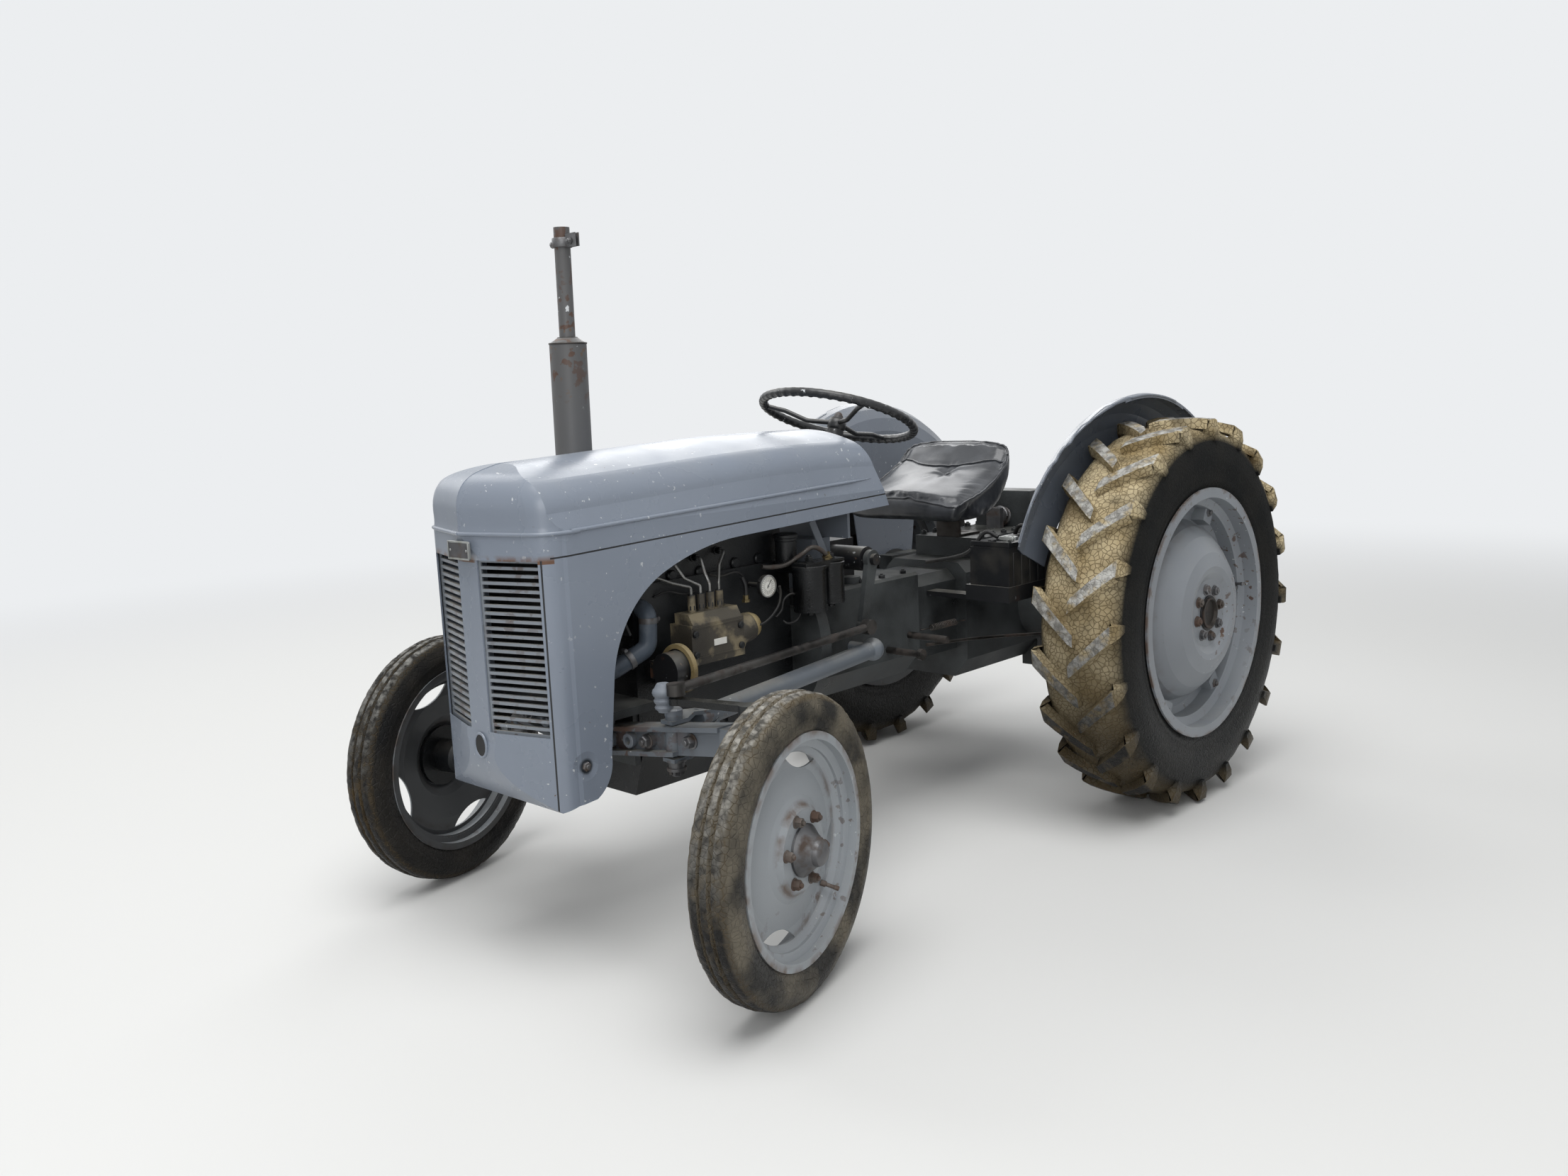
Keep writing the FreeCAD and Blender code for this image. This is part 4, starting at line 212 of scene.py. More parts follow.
def moulded(name, colour, dust_colour, roughness, dust=0.7, grain_mm=2.0, gloss=0.3):
    """Moulded rubber, vinyl or case plastic: a fine grain, with dust that clings in patches."""
    material, tree, shader, place = new_finish(name)
    film = add(tree, "MapRange", {"Value": spots(tree, place, 38, 0.45, 0.75, 7), "To Max": dust}).outputs[0]
    skin = coats(tree, linear(colour), (film, linear(dust_colour)), (grime(tree, place, dust * 0.5), linear(dust_colour)))
    tree.links.new(skin, shader.inputs["Base Color"])
    shader.inputs["Roughness"].default_value = roughness
    shader.inputs["IOR"].default_value = 1.5
    shader.inputs["Specular IOR Level"].default_value = gloss
    pores = add(tree, "TexNoise", {"Vector": place, "Scale": 500 / grain_mm, "Detail": 3.0}).outputs[0]
    skin = add(tree, "Bump", {"Height": pores, "Distance": 0.0002}).outputs[0]
    tree.links.new(skin, shader.inputs["Normal"])
    return material


def about_axle(tree, place, centre, axis):
    """How far a place is along an axle from its centre, how far out from it, both in metres."""
    arm = add(tree, "VectorMath", {0: place, 1: tuple(centre)}, operation="SUBTRACT").outputs[0]
    along = add(tree, "VectorMath", {0: arm, 1: tuple(axis)}, operation="DOT_PRODUCT").outputs["Value"]
    cross = add(tree, "VectorMath", {0: arm, 1: tuple(axis)}, operation="CROSS_PRODUCT").outputs[0]
    radius = add(tree, "VectorMath", {0: cross}, operation="LENGTH").outputs["Value"]
    return along, radius


def tyre_finish(name, centre, axis, shoulder_r, tread_r, top_r, tread_mud, wall_mud, colours):
    """Cured tyre rubber: dull black walls with mud in bands, caked earth between the lugs, worn grey tops, and painted
    shade that darkens the earth and the tops towards the floor.
    """
    material, tree, shader, place = new_finish(name)
    wall, mud_pale, mud_dark, top_pale, top_dark, wall_earth = (linear(c) for c in colours)
    along, radius = about_axle(tree, place, centre, axis)
    tread = add(tree, "MapRange", {"Value": radius, "From Min": shoulder_r, "From Max": tread_r})
    ragged = spots(tree, place, 80, 0.22, 0.42, 6, tread.outputs[0])
    low_down = add(tree, "MapRange", {"Value": add(tree, "SeparateXYZ", {0: place}).outputs[2],
                                      "From Min": 0.30, "From Max": 0.74}).outputs[0]
    proud = add(tree, "MapRange", {"Value": radius, "From Min": top_r - 0.004, "From Max": top_r}).outputs[0]
    arm = add(tree, "VectorMath", {0: place, 1: tuple(centre)}, operation="SUBTRACT").outputs[0]
    sideways = add(tree, "VectorMath", {0: tuple(axis), 3: along}, operation="SCALE").outputs[0]
    outward = add(tree, "VectorMath", {0: add(tree, "VectorMath", {0: arm, 1: sideways},
                                              operation="SUBTRACT").outputs[0]}, operation="NORMALIZE").outputs[0]
    normal = add(tree, "NewGeometry").outputs["Normal"]
    level = add(tree, "VectorMath", {0: outward, 1: normal}, operation="DOT_PRODUCT").outputs["Value"]
    flat = add(tree, "MapRange", {"Value": level, "From Min": 0.72, "From Max": 0.88}).outputs[0]
    proud = add(tree, "Math", {0: proud, 1: flat}, operation="MULTIPLY").outputs[0]
    worn = spots(tree, place, 16, 0.30, 0.5, 8, proud)
    worn = add(tree, "Math", {0: worn, 1: tread.outputs[0]}, operation="MULTIPLY").outputs[0]
    # Painted shade: the earth and the worn tops darken towards the floor, fully below 0.30 m and not at all above 0.74
    # m.
    clear_of_floor_shade = spots(tree, place, 90, 0.22, 0.42, 4, low_down)
    earth = coats(tree, mud_dark, (spots(tree, place, 60, 0.3, 0.62, 7), mud_pale))
    earth = coats(tree, linear("#2b251d"), (add(tree, "MapRange", {"Value": clear_of_floor_shade, "To Min": 0.12}).outputs[0], earth))
    cracks = add(tree, "TexVoronoi", {"Vector": place, "Scale": 70.0, "Randomness": 1.0},
                 feature="DISTANCE_TO_EDGE").outputs["Distance"]
    crack = add(tree, "MapRange", {"Value": cracks, "From Min": 0.0, "From Max": 0.10, "To Min": 0.7,
                                   "To Max": 0.0}).outputs[0]
    earth = coats(tree, earth, (crack, linear("#52452f")),
                  (spots(tree, place, 130, 0.56, 0.66, 5), linear("#54462f")))
    muddy = add(tree, "Math", {0: ragged, 1: tread_mud}, operation="MULTIPLY").outputs[0]
    wall_patch = add(tree, "MapRange", {"Value": spots(tree, place, 55, 0.36, 0.64, 7), "To Max": wall_mud}).outputs[0]
    tops = coats(tree, top_dark, (spots(tree, place, 10, 0.40, 0.62, 7), top_pale))
    # Painted shade: the worn tops go near black towards the floor.
    tops = coats(tree, linear("#1d1c1b"), (clear_of_floor_shade, tops))
    rubber = coats(tree, wall, (wall_patch, wall_earth), (muddy, earth), (worn, tops))
    tree.links.new(rubber, shader.inputs["Base Color"])
    damp = add(tree, "MapRange", {"Value": low_down, "To Min": 0.42, "To Max": 0.9}).outputs[0]
    tree.links.new(damp, shader.inputs["Roughness"])
    shader.inputs["Specular IOR Level"].default_value = 0.15
    clods = add(tree, "TexNoise", {"Vector": place, "Scale": 110.0, "Detail": 7.0}).outputs[0]
    broken = add(tree, "Math", {0: clods, 1: crack}, operation="SUBTRACT").outputs[0]
    skin = add(tree, "Bump", {"Height": broken, "Distance": 0.002}).outputs[0]
    tree.links.new(skin, shader.inputs["Normal"])
    return material


def wheel_finish(name, colour, shade, centre, axis, rust_rings, sign, roughness=0.42):
    """Pressed wheel in brushed enamel: rust creeps out of the joints, in rings about the axle. Faces turned in towards
    the tractor are darkened: painted shade, partly unwashed dirt.
    """
    material = enamel(name, colour, shade, roughness, 0.62, 0.2, 0.9)
    tree = material.node_tree
    shader = tree.nodes["Principled BSDF"]
    place = add(tree, "TexCoord").outputs["Object"]
    along, radius = about_axle(tree, place, centre, axis)
    paint = shader.inputs["Base Color"].links[0].from_socket
    for ring_mm, wide_mm, share in rust_rings:
        off = add(tree, "Math", {0: radius, 1: ring_mm * MM}, operation="SUBTRACT").outputs[0]
        off = add(tree, "Math", {0: off}, operation="ABSOLUTE").outputs[0]
        ring = add(tree, "MapRange", {"Value": off, "From Min": wide_mm * MM, "From Max": 0.0, "To Max": share})
        paint = coats(tree, paint, (spots(tree, place, 24, 0.42, 0.6, 7, ring.outputs[0]), linear("#584537")))
    # Painted shade, partly unwashed dirt: faces turned in towards the tractor darken to near black.
    normal = add(tree, "NewGeometry").outputs["Normal"]
    inward = add(tree, "VectorMath", {0: normal, 1: tuple(axis * -sign)}, operation="DOT_PRODUCT").outputs["Value"]
    inward_shade_and_dirt = add(tree, "MapRange", {"Value": inward, "From Min": 0.1, "From Max": 0.6, "To Max": 0.9}).outputs[0]
    paint = coats(tree, paint, (inward_shade_and_dirt, linear("#1b1b1c")))
    tree.links.new(paint, shader.inputs["Base Color"])
    return material


def bonnet_finish():
    """The bonnet's enamel, with the dark lap joint of its skirt, rust that creeps from under its band, and painted
    shade in the hinge dimples.
    """
    material = enamel("bonnet_enamel", "#7b838f", "#717985", 0.25, 0.74, 0.12, 0.1)
    tree = material.node_tree
    shader = tree.nodes["Principled BSDF"]
    place = add(tree, "TexCoord").outputs["Object"]
    x, y, z = add(tree, "SeparateXYZ", {0: place}).outputs[:3]
    lap = add(tree, "MapRange", {"Value": y, "From Min": at(0, -250, 0).y, "From Max": at(0, 910, 0).y,
                                 "To Min": 0.984, "To Max": 1.024}, clamp=False).outputs[0]
    seam = add(tree, "Math", {0: z, 1: lap, 2: 0.0018}, operation="COMPARE").outputs[0]
    behind = add(tree, "Math", {0: y, 1: at(0, -248, 0).y}, operation="GREATER_THAN").outputs[0]
    seam = add(tree, "Math", {0: seam, 1: behind}, operation="MULTIPLY").outputs[0]
    width = add(tree, "Math", {0: x}, operation="ABSOLUTE").outputs[0]
    corner = add(tree, "Math", {0: width, 1: 0.210, 2: 0.0015}, operation="COMPARE").outputs[0]
    front = add(tree, "Math", {0: y, 1: at(0, -240, 0).y}, operation="LESS_THAN").outputs[0]
    low = add(tree, "Math", {0: z, 1: 0.980}, operation="LESS_THAN").outputs[0]
    corner = add(tree, "Math", {0: corner, 1: front}, operation="MULTIPLY").outputs[0]
    corner = add(tree, "Math", {0: corner, 1: low}, operation="MULTIPLY").outputs[0]
    band = add(tree, "MapRange", {"Value": z, "From Min": 0.992, "From Max": 0.978}).outputs[0]
    above = add(tree, "Math", {0: z, 1: 0.972}, operation="GREATER_THAN").outputs[0]
    band = add(tree, "Math", {0: band, 1: above}, operation="MULTIPLY").outputs[0]
    band = add(tree, "Math", {0: band, 1: front}, operation="MULTIPLY").outputs[0]
    gap = add(tree, "Math", {0: seam, 1: corner}, operation="MAXIMUM").outputs[0]
    paint = shader.inputs["Base Color"].links[0].from_socket
    paint = coats(tree, paint, (spots(tree, place, 26, 0.42, 0.54, 7, band), linear("#5f4433")),
                  (gap, linear("#16181b")))
    tree.links.new(paint, shader.inputs["Base Color"])
    mirrored = add(tree, "CombineXYZ", {0: width, 1: y, 2: z}).outputs[0]
    dimple = add(tree, "VectorMath", {0: mirrored, 1: tuple(at(232, -198, 509))}, operation="SUBTRACT").outputs[0]
    dimple = add(tree, "VectorMath", {0: dimple}, operation="LENGTH").outputs["Value"]
    dimple = add(tree, "MapRange", {"Value": dimple, "From Min": 0.014, "From Max": 0.034}).outputs[0]
    paint = shader.inputs["Base Color"].links[0].from_socket
    # Painted shade: the middle of each hinge dimple, round the bolt, darkens to near black.
    dimple_shade = add(tree, "MapRange", {"Value": dimple, "From Min": 0.32, "From Max": 0.0, "To Max": 0.9}).outputs[0]
    tree.links.new(coats(tree, paint, (dimple_shade, linear("#191b1e"))), shader.inputs["Base Color"])
    height = add(tree, "Math", {0: dimple, 1: gap}, operation="SUBTRACT").outputs[0]
    skin = shader.inputs["Normal"].links[0].from_socket
    pressed = add(tree, "Bump", {"Height": height, "Distance": 0.004, "Normal": skin}).outputs[0]
    tree.links.new(pressed, shader.inputs["Normal"])
    return material


GREY_ENAMEL = enamel("grey_enamel", "#6a7078", "#5a6068", 0.36, 0.68, 0.3)
GUARD_ENAMEL = enamel("mudguard_enamel", "#6e757f", "#5d636d", 0.24, 0.7, 0.2, 0.3)
BONNET_ENAMEL = bonnet_finish()
RUSTY_ENAMEL = enamel("axle_enamel", "#646a71", "#53585d", 0.45, 0.5, 0.5, 1.0)
BLACK_ENAMEL = enamel("black_enamel", "#1b1c1e", "#121214", 0.35, 0.64, 0.4)
STEERING_ENAMEL = enamel("worn_black_enamel", "#242527", "#18191b", 0.3, 0.74, 0.15, 0.0)
EXHAUST_ENAMEL = enamel("heat_dulled_enamel", "#5c5d5e", "#4c4b4b", 0.5, 0.56, 0.1, 0.9)
DARK_CASTING = casting("dark_cast_iron", "#3f4243", "#5a5a56", "#141515", 0.45)
OILY_CASTING = casting("oily_cast_iron", "#191b1d", "#2f2d2a", "#08090a", 0.36)
OCHRE_PAINT = casting("chipped_ochre_paint", "#423e37", "#615c50", "#1a1815", 0.4, 0.9, "#7d735d")
OCHRE_SHELL = casting("ochre_enamel", "#a39269", "#93896f", "#62543a", 0.35, 0.3, "#423726")
BARE_STEEL = bare_metal("handled_steel", "#9a9a98", "#5e5d5a", "#4c3526", 0.2, 0.38)
RUSTY_STEEL = bare_metal("rusty_steel", "#55524f", "#302d2a", "#3a302a", 0.5, 0.5)
GREASY_STEEL = bare_metal("greasy_steel", "#4c4a48", "#262423", "#2b2521", 0.5, 0.45)
RUSTY_NUT = bare_metal("rusted_nut", "#7d7670", "#4c4641", "#4d3c32", 0.7, 0.55)
CAST_STEEL = bare_metal("worn_cast_steel", "#7b7b7c", "#48484a", "#453a33", 0.4, 0.5)
BRASS = bare_metal("tarnished_brass", "#7d7050", "#4b4130", "#352d22", 0.4, 0.45)
ALLOY = bare_metal("stamped_aluminium", "#b9bbb8", "#8f918f", "#77786f", 0.3, 0.45)
WHITE_PLATE = moulded("white_lacquer", "#d9d8d2", "#a7a294", 0.4, 0.4)
BOOT_RUBBER = moulded("painted_boot_rubber", "#6c727a", "#9a9d9f", 0.5, 0.8)
HOSE_RUBBER = moulded("hose_rubber", "#1d1e20", "#46484a", 0.5, 0.9)
CABLE_SLEEVE = moulded("cable_sleeve", "#161617", "#3a3834", 0.5)
BATTERY_CASE = moulded("battery_case", "#17181a", "#3a3834", 0.4)
VINYL = moulded("black_vinyl", "#26282c", "#7d8085", 0.3, 0.25, 3.0, 0.6)
CORD_HEMP = moulded("hemp_cord", "#8f8268", "#6f6450", 0.9)

FINISH_OF_SLOT = {
    "blue_grey_enamel": GREY_ENAMEL,
    "oily_casting": OILY_CASTING,
    "dark_cast_grey": DARK_CASTING,
    "worn_ochre_paint": OCHRE_PAINT,
    "bare_steel": BARE_STEEL,
    "rusty_steel": RUSTY_STEEL,
    "black_enamel": BLACK_ENAMEL,
    "hose_rubber": HOSE_RUBBER,
    "black_vinyl": VINYL,
    "black_battery_case": BATTERY_CASE,
}
GRILLE_ENAMEL = enamel("grille_enamel", "#7f858c", "#656a6f", 0.36, 0.56, 0.9, 1.0)
PAINTED_HOSE = moulded("painted_hose", "#454d57", "#747b83", 0.45, 0.6)
ARM_ENAMEL = enamel("rod_enamel", "#5f666e", "#50565c", 0.4, 0.6, 0.5, 0.9)
OWN_FINISH = {
    "grille": GRILLE_ENAMEL,
    "water_hoses": PAINTED_HOSE,
    "bonnet": BONNET_ENAMEL,
    "mudguards": GUARD_ENAMEL,
    "axle_beam": RUSTY_ENAMEL,
    "axle_arms": RUSTY_ENAMEL,
    "exhaust": EXHAUST_ENAMEL,
    "steering_wheel": STEERING_ENAMEL,
    "dynamo": BLACK_ENAMEL,
    "radius_rods": ARM_ENAMEL,
    "drag_link_left": GREASY_STEEL,
    "drag_link_right": GREASY_STEEL,
    "foot_controls": GREASY_STEEL,
    "front_hub_left": CAST_STEEL,
    # The right hub, seen from its inner side, has the dark oily iron: partly grease, partly painted shade.
    "front_hub_right": OILY_CASTING,
    "battery_tray": BLACK_ENAMEL,
}
# Each tyre's wall, its pale and its dark mud, the pale and the dark wear of its tread, and the mud on its wall. The
# front right tyre, on the far side, has darker copies of the front left one's colours: painted shade. The rear right
# tyre has darker mud and tread than the rear left.
TYRE_COLOURS = {
    ("front", "left"): ("#2a2927", "#8c8577", "#4c483f", "#a5a29a", "#56544f", "#736c5e"),
    ("front", "right"): ("#151515", "#4a4740", "#262522", "#8b8a85", "#2c2b29", "#2c2925"),
    ("rear", "left"): ("#151616", "#bcae8e", "#8b7a58", "#b4b3ae", "#7d7b76", "#2c2a26"),
    ("rear", "right"): ("#151514", "#8f8263", "#5d503a", "#a5a49d", "#57554f", "#2c2a26"),
}
FRONT_RUST = ((97, 12, 0.9), (200, 12, 0.7), (255, 16, 0.8))
REAR_RUST = ((60, 12, 0.5), (262, 20, 0.3), (383, 12, 1.0))


def paint(obj, finish):
    obj.data.materials.clear()
    obj.data.materials.append(finish)


def dress_nodes():
    """Gives every solid of the model its finish."""
    for row in frame["record"]["subparts"]:
        finish = OWN_FINISH.get(row["node"]) or FINISH_OF_SLOT.get(row["material_slot"])
        if finish:
            paint(frame["nodes"][row["node"]], finish)
    for side, sign in SIDES:
        spin = f"front_wheel_spin_{side}"
        paint(frame["nodes"][f"front_wheel_{side}"],
              wheel_finish(f"front_wheel_enamel_{side}", "#93989c", "#84888c", joint_place(spin), joint_axis(spin),
                           FRONT_RUST, sign))
        spin = f"rear_wheel_spin_{side}"
        paint(frame["nodes"][f"rear_wheel_{side}"],
              wheel_finish(f"rear_wheel_enamel_{side}", "#8a8f94", "#787c81", joint_place(spin), joint_axis(spin),
                           REAR_RUST, sign))


dress_nodes()
rounding = frame["nodes"]["grille"].modifiers.new("rolled_bars", "BEVEL")
rounding.width = 0.0026
rounding.segments = 2


# Shapes. Each is drawn into a bmesh, in millimetres, inside a frame.
def lathe(bm, frame_in, profile, steps=32, turn=0.0, closed=False):
    """Turns a profile of (distance along z, radius) about the frame's z axis."""
    rings = []
    for along, radius in profile:
        count = 1 if radius < 0.001 else steps
        corners = [turn + 2 * math.pi * k / steps for k in range(count)]
        rings.append([bm.verts.new(frame_in @ (Vector((math.cos(a) * radius, math.sin(a) * radius, along)) * MM))
                      for a in corners])
    pairs = list(zip(rings, rings[1:])) + ([(rings[-1], rings[0])] if closed else [])
    for near, far in pairs:
        for k in range(max(len(near), len(far))):
            loop = (near[k % len(near)], near[(k + 1) % len(near)], far[(k + 1) % len(far)], far[k % len(far)])
            corners = list(dict.fromkeys(loop))
            if len(corners) > 2:
                bm.faces.new(corners)


def prism(bm, frame_in, outline, low, high):
    """An outline in x and y, filled from low to high along z."""
    floor = [bm.verts.new(frame_in @ (Vector((x, y, low)) * MM)) for x, y in outline]
    roof = [bm.verts.new(frame_in @ (Vector((x, y, high)) * MM)) for x, y in outline]
    bm.faces.new(floor)
    bm.faces.new(roof)
    for k in range(len(outline)):
        after = (k + 1) % len(outline)
        bm.faces.new((floor[k], floor[after], roof[after], roof[k]))


def eased(points, parts, closed=False):
    """A smooth line through points."""
    count = len(points)
    line = []
    for i in range(count if closed else count - 1):
        here, after = points[i], points[(i + 1) % count]
        before = points[i - 1] if closed or i else here * 2 - after
        beyond = points[(i + 2) % count] if closed or i + 2 < count else after * 2 - here
        for k in range(parts):
            t = k / parts
            line.append((here * 2 + (after - before) * t + (before * 2 - here * 5 + after * 4 - beyond) * t * t
                         + (here * 3 - before - after * 3 + beyond) * t * t * t) * 0.5)
    return line if closed else line + [points[-1].copy()]


def sweep(bm, line, section, closed=False, head=(0, 0, 1), grow=None):
    """Carries a section of (sideways, up) points in millimetres along a line."""
    up = Vector(head)
    rings = []
    count = len(line)
    for i, place in enumerate(line):
        before = line[i - 1] if closed or i else place
        after = line[(i + 1) % count] if closed or i + 1 < count else place
        ahead = (after - before).normalized()
        up = (up - ahead * up.dot(ahead)).normalized()
        aside = ahead.cross(up)
        size = (grow[i] if grow else 1.0) * MM
        rings.append([bm.verts.new(place + aside * a * size + up * b * size) for a, b in section])
    pairs = list(zip(rings, rings[1:])) + ([(rings[-1], rings[0])] if closed else [])
    for near, far in pairs:
        for k in range(len(section)):
            after = (k + 1) % len(section)
            bm.faces.new((near[k], near[after], far[after], far[k]))
    if not closed:
        bm.faces.new(rings[0])
        bm.faces.new(rings[-1])


def round_section(radius, steps=10):
    return [(math.cos(2 * math.pi * k / steps) * radius, math.sin(2 * math.pi * k / steps) * radius)
            for k in range(steps)]


def pipe(bm, places, radius, parts=6, steps=10, closed=False):
    """A bent pipe, rod or cable through places on the tractor."""
    sweep(bm, eased([at(*p) for p in places], parts, closed), round_section(radius, steps), closed)


def nut(bm, frame_in, across, tall, stud=True, washer=True, turn=0.3):
    """Hexagon nut with chamfered corners on its washer, with the end of the stud."""
    radius = across / math.sqrt(3)
    foot = across * 0.1 if washer else 0
    if washer:
        lathe(bm, frame_in, [(0, 0), (0, radius * 1.22), (foot * 0.8, radius * 1.22), (foot, radius * 1.15), (foot, 0)],
              20)
    lathe(bm, frame_in, [(foot, 0), (foot, radius), (foot + tall * 0.8, radius), (foot + tall, radius * 0.86),
                         (foot + tall, 0)], 6, turn)
    if stud:
        lathe(bm, frame_in, [(foot + tall, 0), (foot + tall, radius * 0.5), (foot + tall * 1.3, radius * 0.5),
                             (foot + tall * 1.38, radius * 0.42), (foot + tall * 1.38, 0)], 12)


def piece(name, bm, body, finish, crease=38, soft_mm=0.0, stands_for=()):
    """Makes the mesh an object that rides on a body, smooth except at edges sharper than crease degrees."""
    bmesh.ops.recalc_face_normals(bm, faces=bm.faces)
    mesh = bpy.data.meshes.new(name)
    bm.to_mesh(mesh)
    bm.free()
    mesh.shade_smooth()
    mesh.set_sharp_from_angle(angle=math.radians(crease))
    obj = bpy.data.objects.new(name, mesh)
    bpy.context.scene.collection.objects.link(obj)
    paint(obj, finish)
    if soft_mm:
        edge = obj.modifiers.new("eased_edges", "BEVEL")
        edge.width = soft_mm * MM
        edge.segments = 2
        edge.limit_method = "ANGLE"
    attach(obj, body)
    if stands_for:
        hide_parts(*stands_for)
    return obj


def meets(node, start, toward):
    """Where a line from a place first meets a solid's surface, and the surface's normal there."""
    hit, place, normal, face = frame["nodes"][node].ray_cast(start, (toward - start).normalized())
    return (place, normal) if hit else (None, None)


# Tyres
def rear_tyre(side, sign):
    """Ribbed carcass with caked mud, and raked bars with worn tops, staggered from side to side."""
    wheel = wheel_frame(f"rear_wheel_spin_{side}", sign)
    axle = stood(wheel, (0, 0, 0), (1, 0, 0))
    bm = bmesh.new()
    half_profile = ((0, 568), (40, 567), (78, 562), (104, 552), (121, 536), (131, 512), (136, 484), (137, 462),
                    (133, 432), (128, 414), (129, 408), (125, 396), (121, 389), (118, 380), (118, 359))
    profile = [(-x, r) for x, r in reversed(half_profile[1:])] + list(half_profile)
    lathe(bm, axle, profile, 200, closed=True)
    centre = wheel.translation
    for vert in bm.verts:
        arm = wheel.inverted() @ vert.co
        reach = math.hypot(arm.y, arm.z)
        if reach > 0.50:
            cake = noise.noise(vert.co * 26) * 4 + noise.noise(vert.co * 70) * 1.5
            scale = (reach + cake * MM) / reach
            vert.co = wheel @ Vector((arm.x, arm.y * scale, arm.z * scale))
    rake = math.tan(math.radians(43))
    path = ((-10, 589), (2, 593.5), (32, 593), (62, 592.5), (92, 591), (122, 588), (128, 583), (136, 553), (136, 520))
    wide = (25, 30, 31, 32, 34, 36, 36, 31, 18)
    for bar in range(40):
        edge = 1 if bar % 2 else -1
        turn = math.radians(bar * 9)
        rings = []
        slide = 0.0
        for i, (x, reach) in enumerate(path):
            if i:
                last_x, last_reach = path[i - 1]
                slide += math.hypot(x - last_x, reach - last_reach) * rake * (0.92 if i < 6 else 0.2)
            half = wide[i] / 2 / math.cos(math.radians(43)) * (1.0 if i < 7 else 0.9)
            sink = (30, 30, 30, 30, 30, 32, 46, 38, 18)[i]
            normal = Vector((0, 0, 1)) if i < 6 else Vector((0.5, 0, 0.8)) if i < 7 else Vector((0.85, 0, 0.5))
            normal = normal if i < 8 else Vector((1, 0, 0.1))
            ring = []
            for side_share, deep in ((-1.16, sink), (-1.0, 3), (-0.93, 0), (0.93, 0), (1.0, 3), (1.16, sink)):
                around = turn - (slide - side_share * half) / 560
                jitter = 0 if deep > 10 else noise.noise(Vector((bar * 3.1, i * 1.7, side_share))) * 2.2
                out = reach - deep * normal.z + min(jitter, 0)
                across = (x - deep * normal.x) * edge
                ring.append(bm.verts.new(wheel @ (Vector((across, -math.sin(around) * out, math.cos(around) * out)) * MM)))
            rings.append(ring)
        for near, far in zip(rings, rings[1:]):
            for k in range(5):
                bm.faces.new((near[k], near[k + 1], far[k + 1], far[k]))
        bm.faces.new(rings[0])
        bm.faces.new(rings[-1])
    finish = tyre_finish(f"rear_tyre_rubber_{side}", centre, joint_axis(f"rear_wheel_spin_{side}"), 0.520, 0.556,
                         0.576, 1.0, 0.3, TYRE_COLOURS["rear", side])
    piece(f"rear_tyre_lugged_{side}", bm, f"{side}_rear_wheel", finish, 50,
          stands_for=(f"rear_tyre_{side}",))


def front_tyre(side, sign):
    """Three-rib tyre with crumbling edges to its ribs and a stepped wall."""
    wheel = wheel_frame(f"front_wheel_spin_{side}", sign)
    axle = stood(wheel, (0, 0, 0), (1, 0, 0))
    bm = bmesh.new()
    half_profile = ((0, 343.5), (5, 343.2), (8.5, 342), (10.5, 335), (14.5, 334), (16.5, 340), (19, 341.5), (30, 340),
                    (39, 336), (42.5, 331), (44.5, 325), (50, 317), (54.5, 305), (56, 294), (55.6, 288), (54, 286.5),
                    (53, 284), (51, 272), (49.5, 266), (45.5, 259.5), (42.5, 255), (42.5, 246))
    profile = [(-x, r) for x, r in reversed(half_profile[1:])] + list(half_profile)
    lathe(bm, axle, profile, 220, closed=True)
    for vert in bm.verts:
        arm = wheel.inverted() @ vert.co
        reach = math.hypot(arm.y, arm.z)
        if reach > 0.33:
            chip = min(noise.noise(vert.co * 120), 0) * 3 + noise.noise(vert.co * 30)
            scale = (reach + (chip - 0.6) * MM) / reach
            shift = noise.noise(vert.co * 90 + Vector((3, 0, 0))) * 1.3 * MM
            vert.co = wheel @ Vector((arm.x + shift, arm.y * scale, arm.z * scale))
    finish = tyre_finish(f"front_tyre_rubber_{side}", wheel.translation, joint_axis(f"front_wheel_spin_{side}"), 0.322,
                         0.330, 0.338, 0.75, 0.75, TYRE_COLOURS["front", side])
    piece(f"front_tyre_ribbed_{side}", bm, f"{side}_front_wheel", finish, 60,
          stands_for=(f"front_tyre_{side}",))


# Wheel fittings
def spread(first, count, radius):
    """Places round an axle, from the rear towards the top, as (to the rear, up)."""
    for k in range(count):
        angle = math.radians(first + 360 * k / count)
        yield math.cos(angle) * radius, math.sin(angle) * radius


def front_fittings(side, sign):
    """Six rusted nuts, the tapered hub cap's worn end and the valve."""
    wheel = wheel_frame(f"front_wheel_spin_{side}", sign)
    body = f"{side}_front_wheel"
    bm = bmesh.new()
    for number, (rear, up) in enumerate(spread(51.4, 6, 76.7)):
        nut(bm, stood(wheel, (38.2, rear, up), (1, 0, 0)), 20, 14, turn=number * 0.7)
    piece(f"front_wheel_nuts_{side}", bm, body, RUSTY_NUT, 30)
    bm = bmesh.new()
    lathe(bm, stood(wheel, (40, 0, 0), (1, 0, 0)),
          [(-1, 0), (-1, 58), (4, 58), (8, 54), (20, 42), (31, 33.5), (33, 31.5), (36, 31), (44, 28), (49, 21),
           (51.5, 10), (52, 0)], 40)
    piece(f"front_hub_cap_{side}", bm, body, CAST_STEEL, 30)
    bm = bmesh.new()
    stem = stood(wheel, (14, 138, -132), (1, 0.4, -0.4))
    lathe(bm, stem, [(-12, 0), (-12, 7), (0, 7), (2, 4.5), (20, 4.5), (21, 5.4), (31, 5.4), (32, 4), (32, 0)], 14)
    piece(f"front_valve_{side}", bm, body, RUSTY_NUT, 30)


